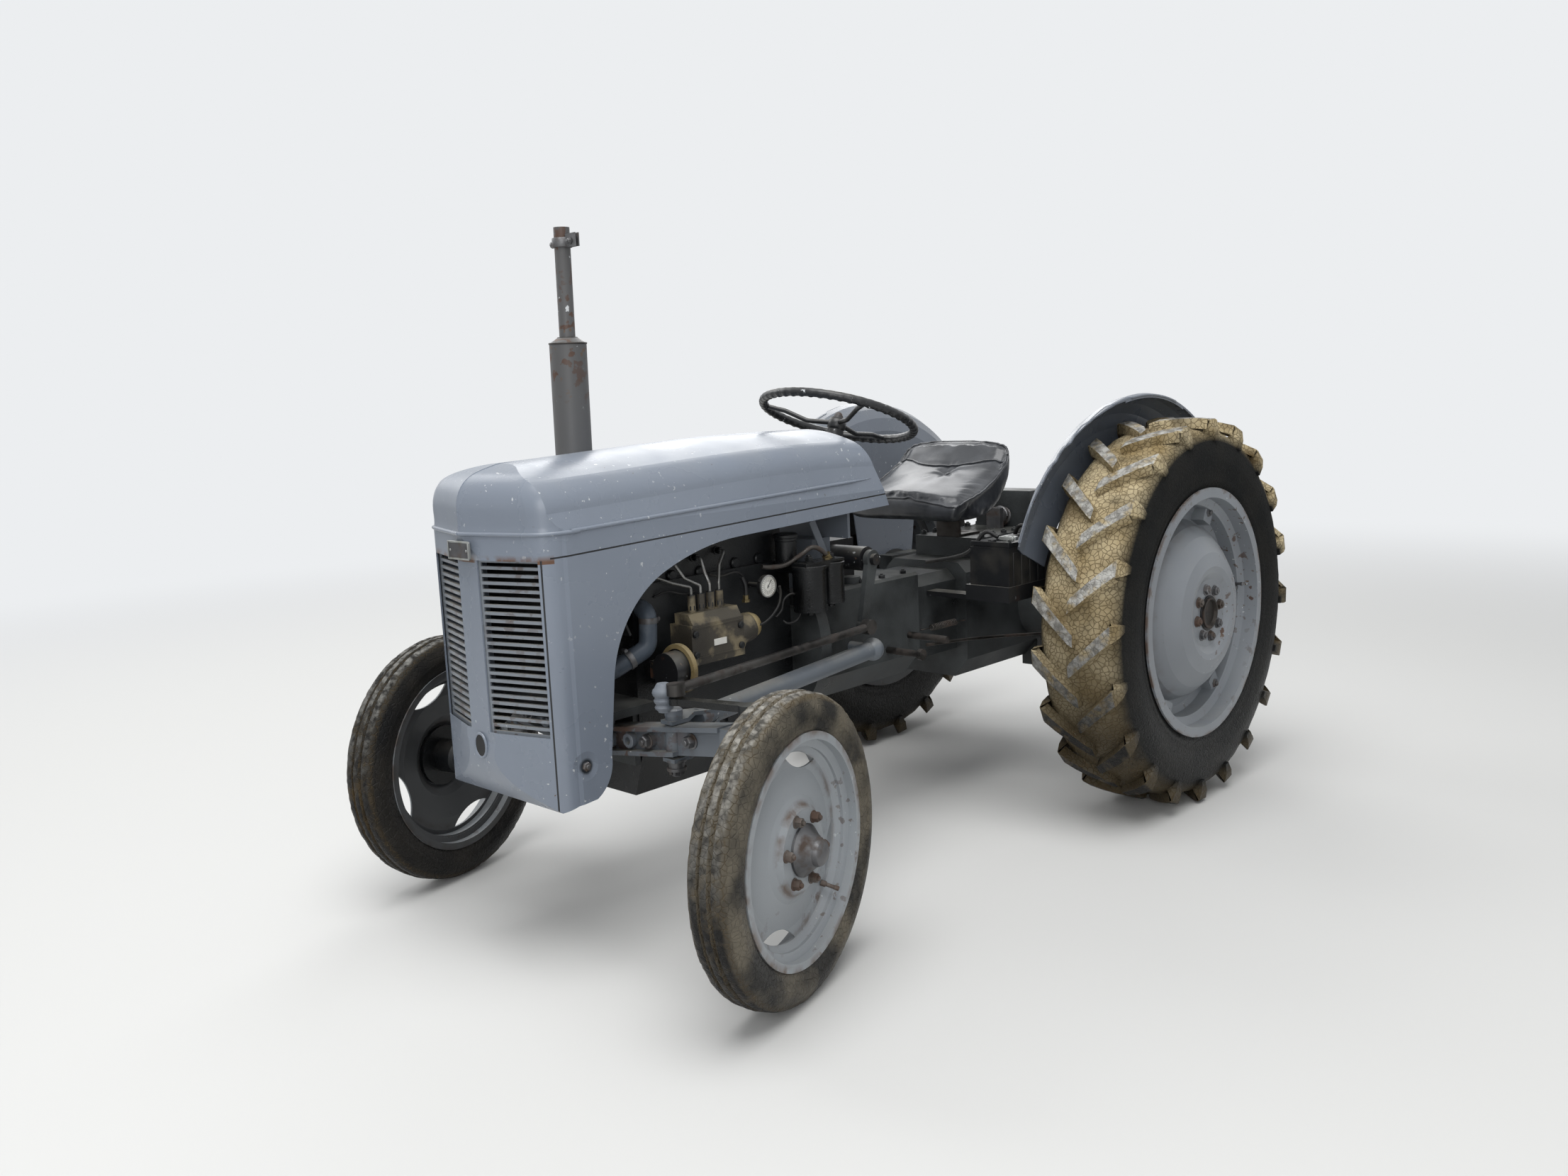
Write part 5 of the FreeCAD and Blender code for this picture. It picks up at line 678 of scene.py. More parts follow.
def rear_fittings(side, sign):
    """Eight nuts round the cup, the bolts of the rim's lugs and the valve."""
    wheel = wheel_frame(f"rear_wheel_spin_{side}", sign)
    body = f"{side}_rear_wheel"
    grey = bmesh.new()
    rusty = bmesh.new()
    for number, (rear, up) in enumerate(spread(12, 8, 75)):
        where = stood(wheel, (128.2, rear, up), (1, 0, 0))
        nut(rusty if number in (0, 3, 4) else grey, where, 24, 9.6, turn=number * 0.6)
    for number, (rear, up) in enumerate(spread(65, 6, 322)):
        where = stood(wheel, (50, rear, up), (1, 0, 0))
        nut(grey, where, 27, 16, turn=number)
        lathe(grey, where, [(-28, 0), (-28, 15), (0, 15), (0, 0)], 20)
    lathe(grey, stood(wheel, (62, 322, 40), (1, -0.3, 0.1)),
          [(-14, 0), (-14, 8), (0, 8), (1, 4.5), (28, 4.5), (30, 6), (38, 6), (39, 4), (39, 0)], 14)
    piece(f"rear_wheel_bolts_{side}", grey, body, CAST_STEEL, 30)
    piece(f"rear_wheel_nuts_{side}", rusty, body, RUSTY_NUT, 30)
    bm = bmesh.new()
    lathe(bm, stood(wheel, (128.4, 0, 0), (1, 0, 0)),
          [(0, 46), (0, 53), (2, 54), (4, 53), (4, 47)], 48, closed=True)
    piece(f"rear_hub_seal_{side}", bm, body, CABLE_SLEEVE, 40)


for side_name, side_sign in SIDES:
    rear_tyre(side_name, side_sign)
    front_tyre(side_name, side_sign)
    front_fittings(side_name, side_sign)
    rear_fittings(side_name, side_sign)


# Bodywork
def bonnet_bead():
    """Pressed bead round the nose and along both sides, found on the sheet by lines towards it."""
    bm = bmesh.new()
    for sign in (1, -1):
        places = []
        for step in range(24):
            y = 840 - step * 45
            z = 1037 + 34 * (y + 250) / 1100
            found, normal = meets("bonnet", at(sign * 400, y, z), at(0, y, z))
            if found:
                places.append(found)
        for turn in range(0, 87, 6):
            angle = math.radians(90 - turn)
            start = at(0, -150, 1037) + Vector((sign * math.sin(angle), -math.cos(angle), 0)) * 0.6
            if start.y > at(0, -205, 0).y:
                continue
            found, normal = meets("bonnet", start, at(0, -150, 1037))
            if found:
                places.append(found)
        found, normal = meets("bonnet", at(sign * 0.5, -600, 1037), at(sign * 0.5, 0, 1037))
        places.append(found)
        grow = [min(1.0, 0.15 + 0.4 * i) for i in range(len(places))]
        sweep(bm, places, round_section(5.0, 10), grow=grow)
    piece("bonnet_bead", bm, "bonnet_lid", BONNET_ENAMEL)
    bm = bmesh.new()
    places = []
    for step in range(30):
        angle = math.radians(2 + step * 2.6)
        centre = at(0.3, -120, 1000)
        start = centre + Vector((0, -math.cos(angle), math.sin(angle))) * 0.7
        found, normal = meets("bonnet", start, centre)
        if found and found.z > 1.037:
            places.append(found)
    sweep(bm, places, [(-2.2, -1.0), (2.2, -1.0), (1.2, 1.0), (-1.2, 1.0)], head=(0, -1, 0),
          grow=[1.0] * (len(places) - 5) + [0.8, 0.6, 0.4, 0.25, 0.1])
    piece("bonnet_crease", bm, "bonnet_lid", BONNET_ENAMEL, 60)


def badge_plate():
    """Bare cast plate with a raised rim, on two rivets, where the badge was."""
    bm = bmesh.new()
    face = stood(BODYWORK, (2, -333.5, 1001), (0, -1, 0))
    outline = [(-42, -18), (-38, -21), (38, -21), (42, -18), (42, 18), (38, 21), (-38, 21), (-42, 18)]
    prism(bm, face, outline, -3, 2)
    for x0, x1, y0, y1 in ((-42, 42, 18, 21), (-42, 42, -21, -18), (-42, -38.5, -18, 18), (38.5, 42, -18, 18)):
        prism(bm, face, [(x0, y0), (x1, y0), (x1, y1), (x0, y1)], 2, 3.6)
    for x in (-32, 32):
        lathe(bm, stood(BODYWORK, (2 + x, -335.5, 1001), (0, -1, 0)), [(0, 0), (0, 3.4), (1.2, 2.8), (2.2, 0)], 14)
    piece("badge_plate", bm, "bonnet_lid", ALLOY, soft_mm=0.6)
    bm = bmesh.new()
    prism(bm, face, [(-37, -16.5), (37, -16.5), (37, 16.5), (-37, 16.5)], 0, 2.5)
    piece("badge_field", bm, "bonnet_lid", CAST_STEEL, soft_mm=0.4)


def handle_hole():
    """Oval hole for the starting handle, a flat black plug of painted shade, with its rolled rim, at the foot of the
    grille's middle bar.
    """
    bm = bmesh.new()
    face = stood(BODYWORK, (0, -317, 548), (0, -1, 0))
    # Painted shade: a flat black oval plug stands for the dark inside of the hole.
    prism(bm, face, [(math.cos(a * math.pi / 14) * 21, math.sin(a * math.pi / 14) * 27) for a in range(28)], -6, 1.2)
    piece("handle_hole", bm, "bonnet_lid", CABLE_SLEEVE)
    bm = bmesh.new()
    rim = [face @ (Vector((math.cos(a * math.pi / 16) * 22, math.sin(a * math.pi / 16) * 28, 0)) * MM)
           for a in range(32)]
    sweep(bm, rim, round_section(3.2, 8), closed=True, head=(0, -1, 0))
    piece("handle_hole_rim", bm, "bonnet_lid", BONNET_ENAMEL)


def hinge_bolts():
    """Hexagon bolts that the bonnet tilts on, in their pressed dimples."""
    bm = bmesh.new()
    for sign in (1, -1):
        nut(bm, stood(BODYWORK, (sign * 228, -198, 509), (sign, 0, 0)), 19, 9, turn=0.2)
    piece("hinge_bolts", bm, "chassis", CAST_STEEL, 30)


def radiator_fins():
    """Fine upright fins in front of the core, nearly black behind the grille."""
    bm = bmesh.new()
    for k in range(88):
        x = -174 + k * 4
        prism(bm, BODYWORK, [(x, -151), (x + 0.8, -151), (x + 0.8, -144), (x, -144)], 642, 1048)
    piece("radiator_fins", bm, "chassis", CABLE_SLEEVE, 30)


def guard_edges():
    """Wired edge along the outer rim of each mudguard, and the bolt heads on its inner flank."""
    centre = at(0, WHEELBASE - 45, REAR_TYRE_R - 8)
    edge = bmesh.new()
    bolts = bmesh.new()
    for sign in (1, -1):
        places = []
        for step in range(60):
            angle = math.radians(30 + step * 2.1)
            out = Vector((0, math.cos(angle), math.sin(angle)))
            for wide in (574, 566, 552, 538, 524, 510, 498, 489):
                beside = centre + Vector((sign * wide, 0, 0)) * MM
                found, normal = meets("mudguards", beside + out * 0.9, beside + out * 0.5)
                if found:
                    places.append(found + out * -0.002)
                    break
        sweep(edge, places, round_section(4.5, 8), head=(sign, 0, 0))
        for angle, reach in ((52, 560), (80, 560), (108, 560), (136, 552)):
            out = Vector((0, math.cos(math.radians(angle)), math.sin(math.radians(angle)))) * reach * MM
            start = Vector((sign * 0.3, centre.y + out.y, centre.z + out.z))
            found, normal = meets("mudguards", start, start + Vector((sign * 0.3, 0, 0)))
            if found:
                lathe(bolts, stood(Matrix.Translation(found), (0, 0, 0), (-sign, 0, 0)),
                      [(-2, 0), (-2, 9), (3, 8.6), (6, 5), (6.6, 0)], 16)
    piece("mudguard_edges", edge, "chassis", GUARD_ENAMEL, 60)
    piece("mudguard_bolts", bolts, "chassis", CAST_STEEL, 30)


# Front axle and steering
def axle_fittings():
    """Bolts, castle nuts, straps and bosses along the front axle."""
    grey = bmesh.new()
    rusty = bmesh.new()
    slope = math.tan(math.radians(8.2))
    for sign in (1, -1):
        for x in (92, 166):
            z = 493 + x * slope
            lathe(grey, stood(BODYWORK, (sign * x, -17, z), (0, -1, 0)),
                  [(-4, 9.5), (-4, 18.5), (5, 18.5), (7, 16.5), (7, 9.5)], 28, closed=True)
            prism(grey, BODYWORK, [(sign * x - 2.5, -14), (sign * x + 2.5, -14), (sign * x + 2.5, -5),
                                   (sign * x - 2.5, -5)], z + 17, z + 24)
        nut(rusty, stood(BODYWORK, (sign * 237, -20, 493 + 237 * slope), (0, -1, 0)), 25, 15, turn=0.5)
        nut(rusty, stood(BODYWORK, (sign * 383, -13, 493 + 383 * slope), (0, -1, 0)), 26, 16, turn=0.1)
        for x in (237, 383):
            nut(grey, stood(BODYWORK, (sign * x, 26.6, 493 + x * slope), (0, 1, 0)), 25, 12, turn=0.8)
        low = 493 + 311 * slope - 35
        lathe(rusty, stood(BODYWORK, (sign * 311, 0, low - 10), (0, 0, -1)),
              [(0, 0), (0, 24), (6, 24), (7, 22), (8, 19), (20, 19), (20, 23), (27, 23), (28, 20), (28, 12), (40, 12),
               (41, 10), (41, 0)], 24)
        for k in range(6):
            angle = math.radians(60 * k)
            where = (sign * 311 + math.cos(angle) * 13, math.sin(angle) * 13, low - 40)
            prism(rusty, stood(BODYWORK, where, (0, 0, -1)), [(-4, -3.4), (4, -3.4), (4, 3.4), (-4, 3.4)], -2, 7)
        lathe(grey, stood(BODYWORK, (sign * 311, 0, 600), (0, 0, 1)),
              [(-4, 0), (-4, 21), (9, 21), (13, 17), (14, 0)], 28)
    piece("axle_bosses", grey, "chassis", GREY_ENAMEL, 32)
    piece("axle_nuts", rusty, "chassis", CAST_STEEL, 30)


def steering_boots():
    """Painted, ribbed rubber boots over the front balls of the drag links."""
    for side, sign in SIDES:
        bm = bmesh.new()
        lathe(bm, stood(BODYWORK, (sign * 338, -50, 622), (0, 0, 1)),
              [(-4, 0), (-4, 13), (0, 15), (4, 20.5), (8, 21.5), (12, 19), (15, 18.5), (19, 22), (24, 23.2),
               (28, 20.4), (31, 20.2), (36, 24.6), (42, 26), (48, 24), (52, 20), (56, 18), (62, 14), (64, 0)], 28)
        piece(f"drag_link_boot_{side}", bm, f"{side}_drag_link", BOOT_RUBBER, 40)


def steering_grips():
    """Finger grips moulded under the steering wheel's rim, and the domed nut on its hub."""
    turn = JOINTS["steering_wheel_turn"]
    axis = joint_axis("steering_wheel_turn")
    hub = stood(Matrix.Translation(joint_place("steering_wheel_turn")), (0, 0, 0), axis, (0, 1, 0))
    bm = bmesh.new()
    steps, around = 300, 14
    rings = []
    for k in range(steps):
        angle = 2 * math.pi * k / steps
        ripple = 1.3 * math.sin(angle * 50)
        ring = []
        for j in range(around):
            lean = 2 * math.pi * j / around
            under = max(0.0, -math.sin(lean))
            radius = 12.6 + ripple * (0.25 + under)
            out = 224 + math.cos(lean) * radius
            ring.append(bm.verts.new(hub @ (Vector((math.cos(angle) * out, math.sin(angle) * out,
                                                    8 + math.sin(lean) * radius)) * MM)))
        rings.append(ring)
    for k in range(steps):
        near, far = rings[k], rings[(k + 1) % steps]
        for j in range(around):
            bm.faces.new((near[j], near[(j + 1) % around], far[(j + 1) % around], far[j]))
    piece("steering_wheel_grip", bm, "steering_wheel_body", STEERING_ENAMEL, 70)
    bm = bmesh.new()
    lathe(bm, hub, [(-34, 0), (-34, 22), (-28, 27), (-10, 27), (-4, 24), (0, 20), (0, 0)], 36)
    piece("steering_hub_boss", bm, "steering_wheel_body", STEERING_ENAMEL, 40)
    bm = bmesh.new()
    nut(bm, stood(hub, (0, 0, 0), (0, 0, 1)), 26, 8, stud=False)
    lathe(bm, hub, [(8, 0), (8, 12), (13, 11.4), (18, 8), (20, 4), (20.4, 0)], 24)
    piece("steering_hub_nut", bm, "steering_wheel_body", CAST_STEEL, 30)


def exhaust_clamp():
    """Band clamp with upturned ears and a bolt near the pipe's mouth, and welds at both ends of the silencer."""
    low, high = 1075, 1470
    lean = 8 / (high - low)
    base = (-300, 228, low)

    def on_axis(z):
        return (base[0] + lean * (z - low), base[1], z)

    axis = (lean, 0, 1)
    bm = bmesh.new()
    lathe(bm, stood(BODYWORK, on_axis(1714), axis), [(0, 21), (0, 25.5), (2, 26.5), (22, 26.5), (24, 25.5), (24, 21)], 40,
          closed=True)
    x, y, z = on_axis(1726)
    for gap in (-7, 4):
        prism(bm, stood(BODYWORK, (x + 44, y + gap, z), (0, 1, 0)), [(-20, -14), (16, -14), (22, -6), (22, 20), (-20, 20)],
              0, 3)
    nut(bm, stood(BODYWORK, (x + 44, y - 9, z), (0, -1, 0)), 12, 8)
    nut(bm, stood(BODYWORK, (x + 44, y + 8, z), (0, 1, 0)), 12, 8)
    lathe(bm, stood(BODYWORK, (x - 26, y, z), (-1, 0, -0.1)), [(-4, 0), (-4, 6), (10, 6), (10, 9), (17, 9), (18, 7), (18, 0)], 12)
    piece("exhaust_clamp", bm, "chassis", CAST_STEEL, 30)
    bm = bmesh.new()
    for z, radius in ((low + 3, 48.6), (high - 2, 48.4), (high + 12, 25)):
        where = stood(BODYWORK, on_axis(z), axis)
        rim = [where @ (Vector((math.cos(a * math.pi / 32) * radius, math.sin(a * math.pi / 32) * radius,
                                noise.noise(Vector((a, z, 0))) * 1.2)) * MM) for a in range(64)]
        sweep(bm, rim, round_section(2.6, 8), closed=True)
    piece("exhaust_welds", bm, "chassis", RUSTY_STEEL, 60)


# Engine side
def engine_bolts():
    """Bolts, plugs and covers on the block, the head and the gearbox casing."""
    bm = bmesh.new()
    for sign, face in ((1, 106.5), (-1, 106.5)):
        for y, z in ((194, 879), (290, 877), (414, 883), (500, 884)):
            lathe(bm, stood(BODYWORK, (sign * face, y, z), (sign, 0, 0)), [(0, 0), (0, 15), (5, 15), (8, 12), (8, 0)], 24)
        for y in (84, 176, 268, 360, 452, 544):
            nut(bm, stood(BODYWORK, (sign * 88, y, 962), (0, 0, 1)), 19, 12, turn=y)
        for y in range(90, 600, 64):
            nut(bm, stood(BODYWORK, (sign * 122.4, y, 482), (sign, 0, 0)), 13, 7, stud=False, turn=y)
        for y in range(665, 1060, 98):
            nut(bm, stood(BODYWORK, (sign * 150, y, 771), (0, 0, 1)), 16, 9, turn=y)
    for k in range(11):
        angle = math.radians(-38 + k * 20.5)
        x, z = math.cos(angle) * 219, 640 + math.sin(angle) * 219
        if z < 730 and x > 0:
            for sign in (1, -1):
                nut(bm, stood(BODYWORK, (sign * x, 613.5, z), (0, -1, 0)), 17, 10, turn=k)
    for k in range(7):
        y = 96 + k * 74
        for sign in (1, -1):
            nut(bm, stood(BODYWORK, (sign * 85, y, 972), (0, 0, 1)), 11, 6, stud=False, turn=y)
    piece("engine_bolts", bm, "chassis", OILY_CASTING, 30)


def fuel_pipes():
    """Fuel, oil and bleed pipes along the left of the engine, with their unions."""
    dark = bmesh.new()
    pipe(dark, [(212, 470, 822), (206, 478, 800), (204, 470, 770), (206, 440, 746), (196, 416, 730), (178, 402, 726)], 3.4)
    pipe(dark, [(150, 397, 850), (158, 399, 830), (161, 397, 810), (161, 395, 792)], 5.5)
    pipe(dark, [(130, 300, 870), (140, 330, 862), (150, 372, 868), (150, 397, 856)], 3.2)
    pipe(dark, [(190, 500, 724), (200, 510, 716), (206, 540, 724), (208, 552, 760), (200, 534, 792), (188, 510, 780),
                (186, 500, 752), (184, 480, 736)], 3.0)
    pipe(dark, [(186, 420, 838), (182, 450, 850), (176, 478, 838), (170, 506, 800), (168, 520, 790)], 2.6)
    pipe(dark, [(124, 120, 838), (140, 150, 848), (150, 196, 836), (150, 232, 838)], 2.6)
    piece("fuel_pipes", dark, "chassis", CABLE_SLEEVE, 60)
    brown = bmesh.new()
    pipe(brown, [(168, 452, 872), (176, 480, 868), (190, 520, 870), (204, 560, 890), (216, 590, 908), (222, 616, 902),
                 (224, 640, 884)], 6.5)
    piece("feed_pipe", brown, "chassis", RUSTY_STEEL, 60)
    bm = bmesh.new()
    nut(bm, stood(BODYWORK, (224, 640, 884), (0.1, 0.6, -0.8)), 17, 14)
    nut(bm, stood(BODYWORK, (224, 645, 876), (0, 0, -1)), 20, 12, stud=False)
    lathe(bm, stood(BODYWORK, (161, 396, 789), (0, 0, 1)), [(-2, 0), (-2, 11), (4, 11), (5, 8), (16, 8), (17, 0)], 6)
    piece("pipe_unions", bm, "chassis", BRASS, 30)
    bm = bmesh.new()
    for number in range(4):
        y = 208 + 31.5 * number
        nut(bm, stood(BODYWORK, (161, y, 796), (0, 0, 1)), 19, 12, stud=False, washer=False, turn=number)
        nut(bm, stood(BODYWORK, (161, y, 818), (0, 0, 1)), 17, 16, stud=False, washer=False, turn=number + 1)
        nut(bm, stood(BODYWORK, (107, y + (-90, -57, 0, 50)[number], 832 + (56, 80, 84, 92)[number]), (1, 0, 0)), 16, 14,
            stud=False, turn=number)
    for y in (180, 334):
        for z in (690, 742):
            lathe(bm, stood(BODYWORK, (200, y, z), (1, 0, 0)), [(-1, 0), (-1, 9), (4, 9), (6, 6), (6, 0)], 16)
    for k in range(5):
        angle = math.radians(72 * k + 20)
        lathe(bm, stood(BODYWORK, (161 + math.cos(angle) * 31, 401.5, 722 + math.sin(angle) * 30), (0, 1, 0)),
              [(-2, 0), (-2, 5), (3, 5), (4, 3), (4, 0)], 10)
    piece("pump_unions", bm, "chassis", OILY_CASTING, 30)


def pump_dress():
    """Two blank plates and the seams on the pump's side, and the ochre cap of its governor."""
    bm = bmesh.new()
    for y, z, wide, tall, lean in ((254, 770, 56, 22, 0.5), (262, 712, 42, 16, 0.0)):
        face = stood(BODYWORK, (200.2 - (9 if lean else 0), y, z), (1, 0, lean))
        prism(bm, face, [(-wide / 2, -tall / 2), (wide / 2, -tall / 2), (wide / 2, tall / 2), (-wide / 2, tall / 2)],
              -1, 1.6)
    piece("pump_plates", bm, "chassis", WHITE_PLATE, soft_mm=0.4)
    bm = bmesh.new()
    for z in (682, 756):
        sweep(bm, [at(200, 172, z), at(200, 342, z)], [(-1.6, -1.6), (1.6, -1.6), (1.6, 1.6), (-1.6, 1.6)])
    lathe(bm, stood(BODYWORK, (161, 346, 700), (0, 1, 0)), [(0, 0), (0, 37), (8, 37), (8, 0)], 40)
    piece("pump_flanges", bm, "chassis", OCHRE_PAINT)
    bm = bmesh.new()
    lathe(bm, stood(BODYWORK, (161, 398, 724), (0, 1, 0.03)),
          [(-1, 0), (-1, 35), (4, 35.6), (10, 34), (20, 30), (23, 27), (24, 0)], 40)
    lathe(bm, stood(BODYWORK, (184, 132, 664), (0, 1, 0)),
          [(-3, 50), (-3, 61), (1, 62), (9, 62), (11, 60), (11, 50)], 56, closed=True)
    lathe(bm, stood(BODYWORK, (184, 141, 664), (0, 1, 0)),
          [(-2, 0), (-2, 30), (8, 29), (13, 25), (17, 20), (17, 0)], 40)
    piece("ochre_covers", bm, "chassis", OCHRE_SHELL)
    bm = bmesh.new()
    for k in range(8):
        angle = math.radians(45 * k + 10)
        lathe(bm, stood(BODYWORK, (184 + math.cos(angle) * 53, 141, 664 + math.sin(angle) * 53), (0, 1, 0)),
              [(-1, 0), (-1, 5), (4, 5), (5, 0)], 8)
    lathe(bm, stood(BODYWORK, (184, 157, 664), (0, 1, 0)), [(0, 0), (0, 16), (5, 15), (5, 0)], 6)
    piece("cover_screws", bm, "chassis", BARE_STEEL, 30)


def dial():
    """Pale dial of the gauge with fine marks round it, a hand, and its bright rim."""
    face = stood(BODYWORK, (190, 449, 823), (1, 0, 0))
    bm = bmesh.new()
    lathe(bm, face, [(-1, 0), (-1, 26), (1, 26), (1, 0)], 48)
    piece("gauge_dial", bm, "chassis", WHITE_PLATE)
    bm = bmesh.new()
    lathe(bm, face, [(-2, 25.5), (-2, 29.5), (3, 29.5), (4, 28), (4, 26), (1, 25.5)], 48, closed=True)
    lathe(bm, face, [(1, 0), (1, 3), (3, 2.6), (3, 0)], 16)
    piece("gauge_rim", bm, "chassis", BARE_STEEL)
    bm = bmesh.new()
    for k in range(24):
        angle = 2 * math.pi * k / 24
        turned = face @ Matrix.Rotation(angle, 4, "Z")
        prism(bm, turned, [(12, -0.35), (23, -0.35), (23, 0.35), (12, 0.35)], 0.8, 1.3)
    prism(bm, face @ Matrix.Rotation(0.9, 4, "Z"), [(-6, -0.8), (20, -0.5), (20, 0.5), (-6, 0.8)], 1.5, 2.0)
    piece("gauge_marks", bm, "chassis", CABLE_SLEEVE)


def filter_dress():
    """Bowl rims, centre bolts and the strap that holds the filters."""
    bm = bmesh.new()
    for y, radius, low in ((576, 45, 742), (660, 36, 753)):
        where = stood(BODYWORK, (220, y, low), (0, 0, 1))
        lathe(bm, where, [(-5, 0), (-5, 9), (-2, 12), (0, radius - 10), (2, radius - 3), (8, radius + 0.6),
                          (12, radius + 0.6), (12, 0)], 44)
        lathe(bm, where, [(864 - low - 10, 0), (864 - low - 10, radius + 3), (864 - low - 2, radius + 3),
                          (864 - low, radius), (864 - low, 0)], 44)
        nut(bm, stood(BODYWORK, (220, y, 872), (0, 0, 1)), 20, 12)
        nut(bm, stood(BODYWORK, (220, y, low - 4), (0, 0, -1)), 15, 7, stud=False)
    lathe(bm, stood(BODYWORK, (152, 562, 866), (0, 0, 1)),
          [(0, 0), (0, 32), (7, 32), (8, 28.6), (60, 28.6), (62, 31), (68, 31), (70, 33.5), (77, 33.5), (80, 30), (80, 0)], 40)
    piece("filter_fittings", bm, "chassis", OILY_CASTING, 30)
    bm = bmesh.new()
    sweep(bm, eased([at(146, 672, 968), at(148, 690, 930), at(151, 706, 892), at(154, 716, 858), at(158, 720, 838)], 5),
          [(-2, -11), (2, -11), (2, 11), (-2, 11)], head=(0, 0.3, 1))
    piece("dash_strap", bm, "chassis", GREY_ENAMEL, 30)


def hose_clips():
    """Worm clips on the bottom hose."""
    bm = bmesh.new()
    for place, axis in (((138, 20, 702), (0.2, 0.84, 0.38)), ((148, 78, 790), (0, 0, 1)), ((121, -60, 682), (0, 1, 0))):
        where = stood(BODYWORK, place, axis)
        lathe(bm, where, [(-7, 22.3), (-7, 24), (7, 24), (7, 22.3)], 40, closed=True)
        lathe(bm, where @ Matrix.Translation(Vector((0, 26, 0)) * MM) @ Matrix.Rotation(math.pi / 2, 4, "Y"),
              [(-8, 0), (-8, 5), (8, 5), (8, 0)], 10)
    piece("hose_clips", bm, "chassis", CAST_STEEL, 30)


def battery_dress():
    """Lid ribs, filler caps, and posts with clamped cables."""
    low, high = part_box("battery")
    corner = Matrix.Translation(Vector((low.x, low.y, high.z)))
    wide, long = (high.x - low.x) / MM, (high.y - low.y) / MM
    bm = bmesh.new()
    for k in range(6):
        y = 26 + k * (long - 52) / 5
        lathe(bm, stood(corner, (wide * 0.45, y, 0), (0, 0, 1)), [(-2, 0), (-2, 12), (5, 12), (7, 10), (7, 0)], 20)
    prism(bm, corner, [(2, 2), (wide - 2, 2), (wide - 2, 8), (2, 8)], -10, 3)
    prism(bm, corner, [(2, long - 8), (wide - 2, long - 8), (wide - 2, long - 2), (2, long - 2)], -10, 3)
    for k in range(5):
        prism(bm, corner, [(wide - 1, 20 + k * 42), (wide + 1.5, 20 + k * 42), (wide + 1.5, 44 + k * 42), (wide - 1, 44 + k * 42)],
              -140, -28)
    piece("battery_lid", bm, "chassis", BATTERY_CASE, 30, 1.0)
    bm = bmesh.new()
    for y in (30, long - 30):
        lathe(bm, stood(corner, (wide - 26, y, 0), (0, 0, 1)), [(-2, 0), (-2, 13), (4, 13), (5, 9), (20, 8), (21, 0)], 20)
        prism(bm, stood(corner, (wide - 26, y, 8), (0, 0, 1)), [(-16, -14), (18, -14), (34, -6), (34, 6), (18, 14), (-16, 14)],
              0, 10)
        nut(bm, stood(corner, (wide + 2, y - 12, 13), (0, -1, 0)), 12, 7)
    piece("battery_clamps", bm, "chassis", ALLOY, 30, 1.0)
    post = corner @ (Vector((wide - 26, 30, 14)) * MM)
    back = corner @ (Vector((wide - 26, long - 30, 14)) * MM)
    bm = bmesh.new()
    for start, end in ((post, at(190, 1120, 800)), (back, at(170, 1400, 790))):
        middle = (start + end) / 2 + Vector((0, 0, -0.01))
        line = eased([start + Vector((-0.03, 0, 0)), start + Vector((-0.07, -0.01, 0.012)), middle, end], 8)
        sweep(bm, line, round_section(6, 10))
    piece("battery_cables", bm, "chassis", CABLE_SLEEVE, 60)


def coil_spring():
    """The control spring: an open coil on its rod, between the housing and its plunger."""
    y0, y1 = WHEELBASE + 62 - 75, WHEELBASE + 62 + 75
    bm = bmesh.new()
    turns = 6.5
    steps = 190
    line = []
    for k in range(steps + 1):
        share = k / steps
        eased_share = share + 0.035 * math.sin(2 * math.pi * share)
        angle = 2 * math.pi * turns * share
        line.append(at(math.cos(angle) * 28, y0 + 18 + (y1 - y0 - 34) * eased_share, 864 + math.sin(angle) * 28))
    sweep(bm, line, round_section(6.5, 10), head=(1, 0, 0))
    lathe(bm, stood(BODYWORK, (0, y0, 864), (0, 1, 0)),
          [(-2, 0), (-2, 33), (12, 33), (14, 30), (14, 12), (136, 12), (136, 31), (138, 33.5), (149, 33.5), (150, 31),
           (150, 0)], 36)
    prism(bm, BODYWORK, [(-28, y0 - 20), (28, y0 - 20), (28, y0), (-28, y0)], 826, 894)
    piece("control_spring_coil", bm, "chassis", CAST_STEEL, 40, stands_for=("control_spring",))


def housing_bolts():
    """Bolts round the lift cover, the trumpets and the rear face of the centre housing."""
    bm = bmesh.new()
    for sign in (1, -1):
        for y in range(1510, 1900, 62):
            nut(bm, stood(BODYWORK, (sign * 116, y, 826), (0, 0, 1)), 17, 10, turn=y)
        for k in range(10):
            angle = math.radians(36 * k + 18)
            where = (sign * 163, WHEELBASE + math.cos(angle) * 121, REAR_TYRE_R + math.sin(angle) * 121)
            nut(bm, stood(BODYWORK, where, (sign, 0, 0)), 17, 10, turn=k)
    piece("housing_bolts", bm, "chassis", DARK_CASTING, 30)


def brake_rods():
    """Brake rods with their clevises and the return springs, along both sides of the gearbox."""
    bm = bmesh.new()
    for sign in (1, -1):
        pipe(bm, [(sign * 214, 1080, 560), (sign * 240, 1300, 545), (sign * 330, 1600, 520), (sign * 420, 1700, 510)], 5)
        line = []
        for k in range(161):
            angle = 2 * math.pi * 16 * k / 160
            line.append(at(sign * (224 + math.cos(angle) * 9), 1090 + k * 0.75, 610 + math.sin(angle) * 9))
        sweep(bm, line, round_section(1.6, 6), head=(1, 0, 0))
        pipe(bm, [(sign * 224, 1040, 612), (sign * 224, 1090, 610)], 1.8, 3, 6)
        pipe(bm, [(sign * 224, 1210, 610), (sign * 224, 1260, 606)], 1.8, 3, 6)
    piece("brake_rods", bm, "chassis", RUSTY_STEEL, 60)


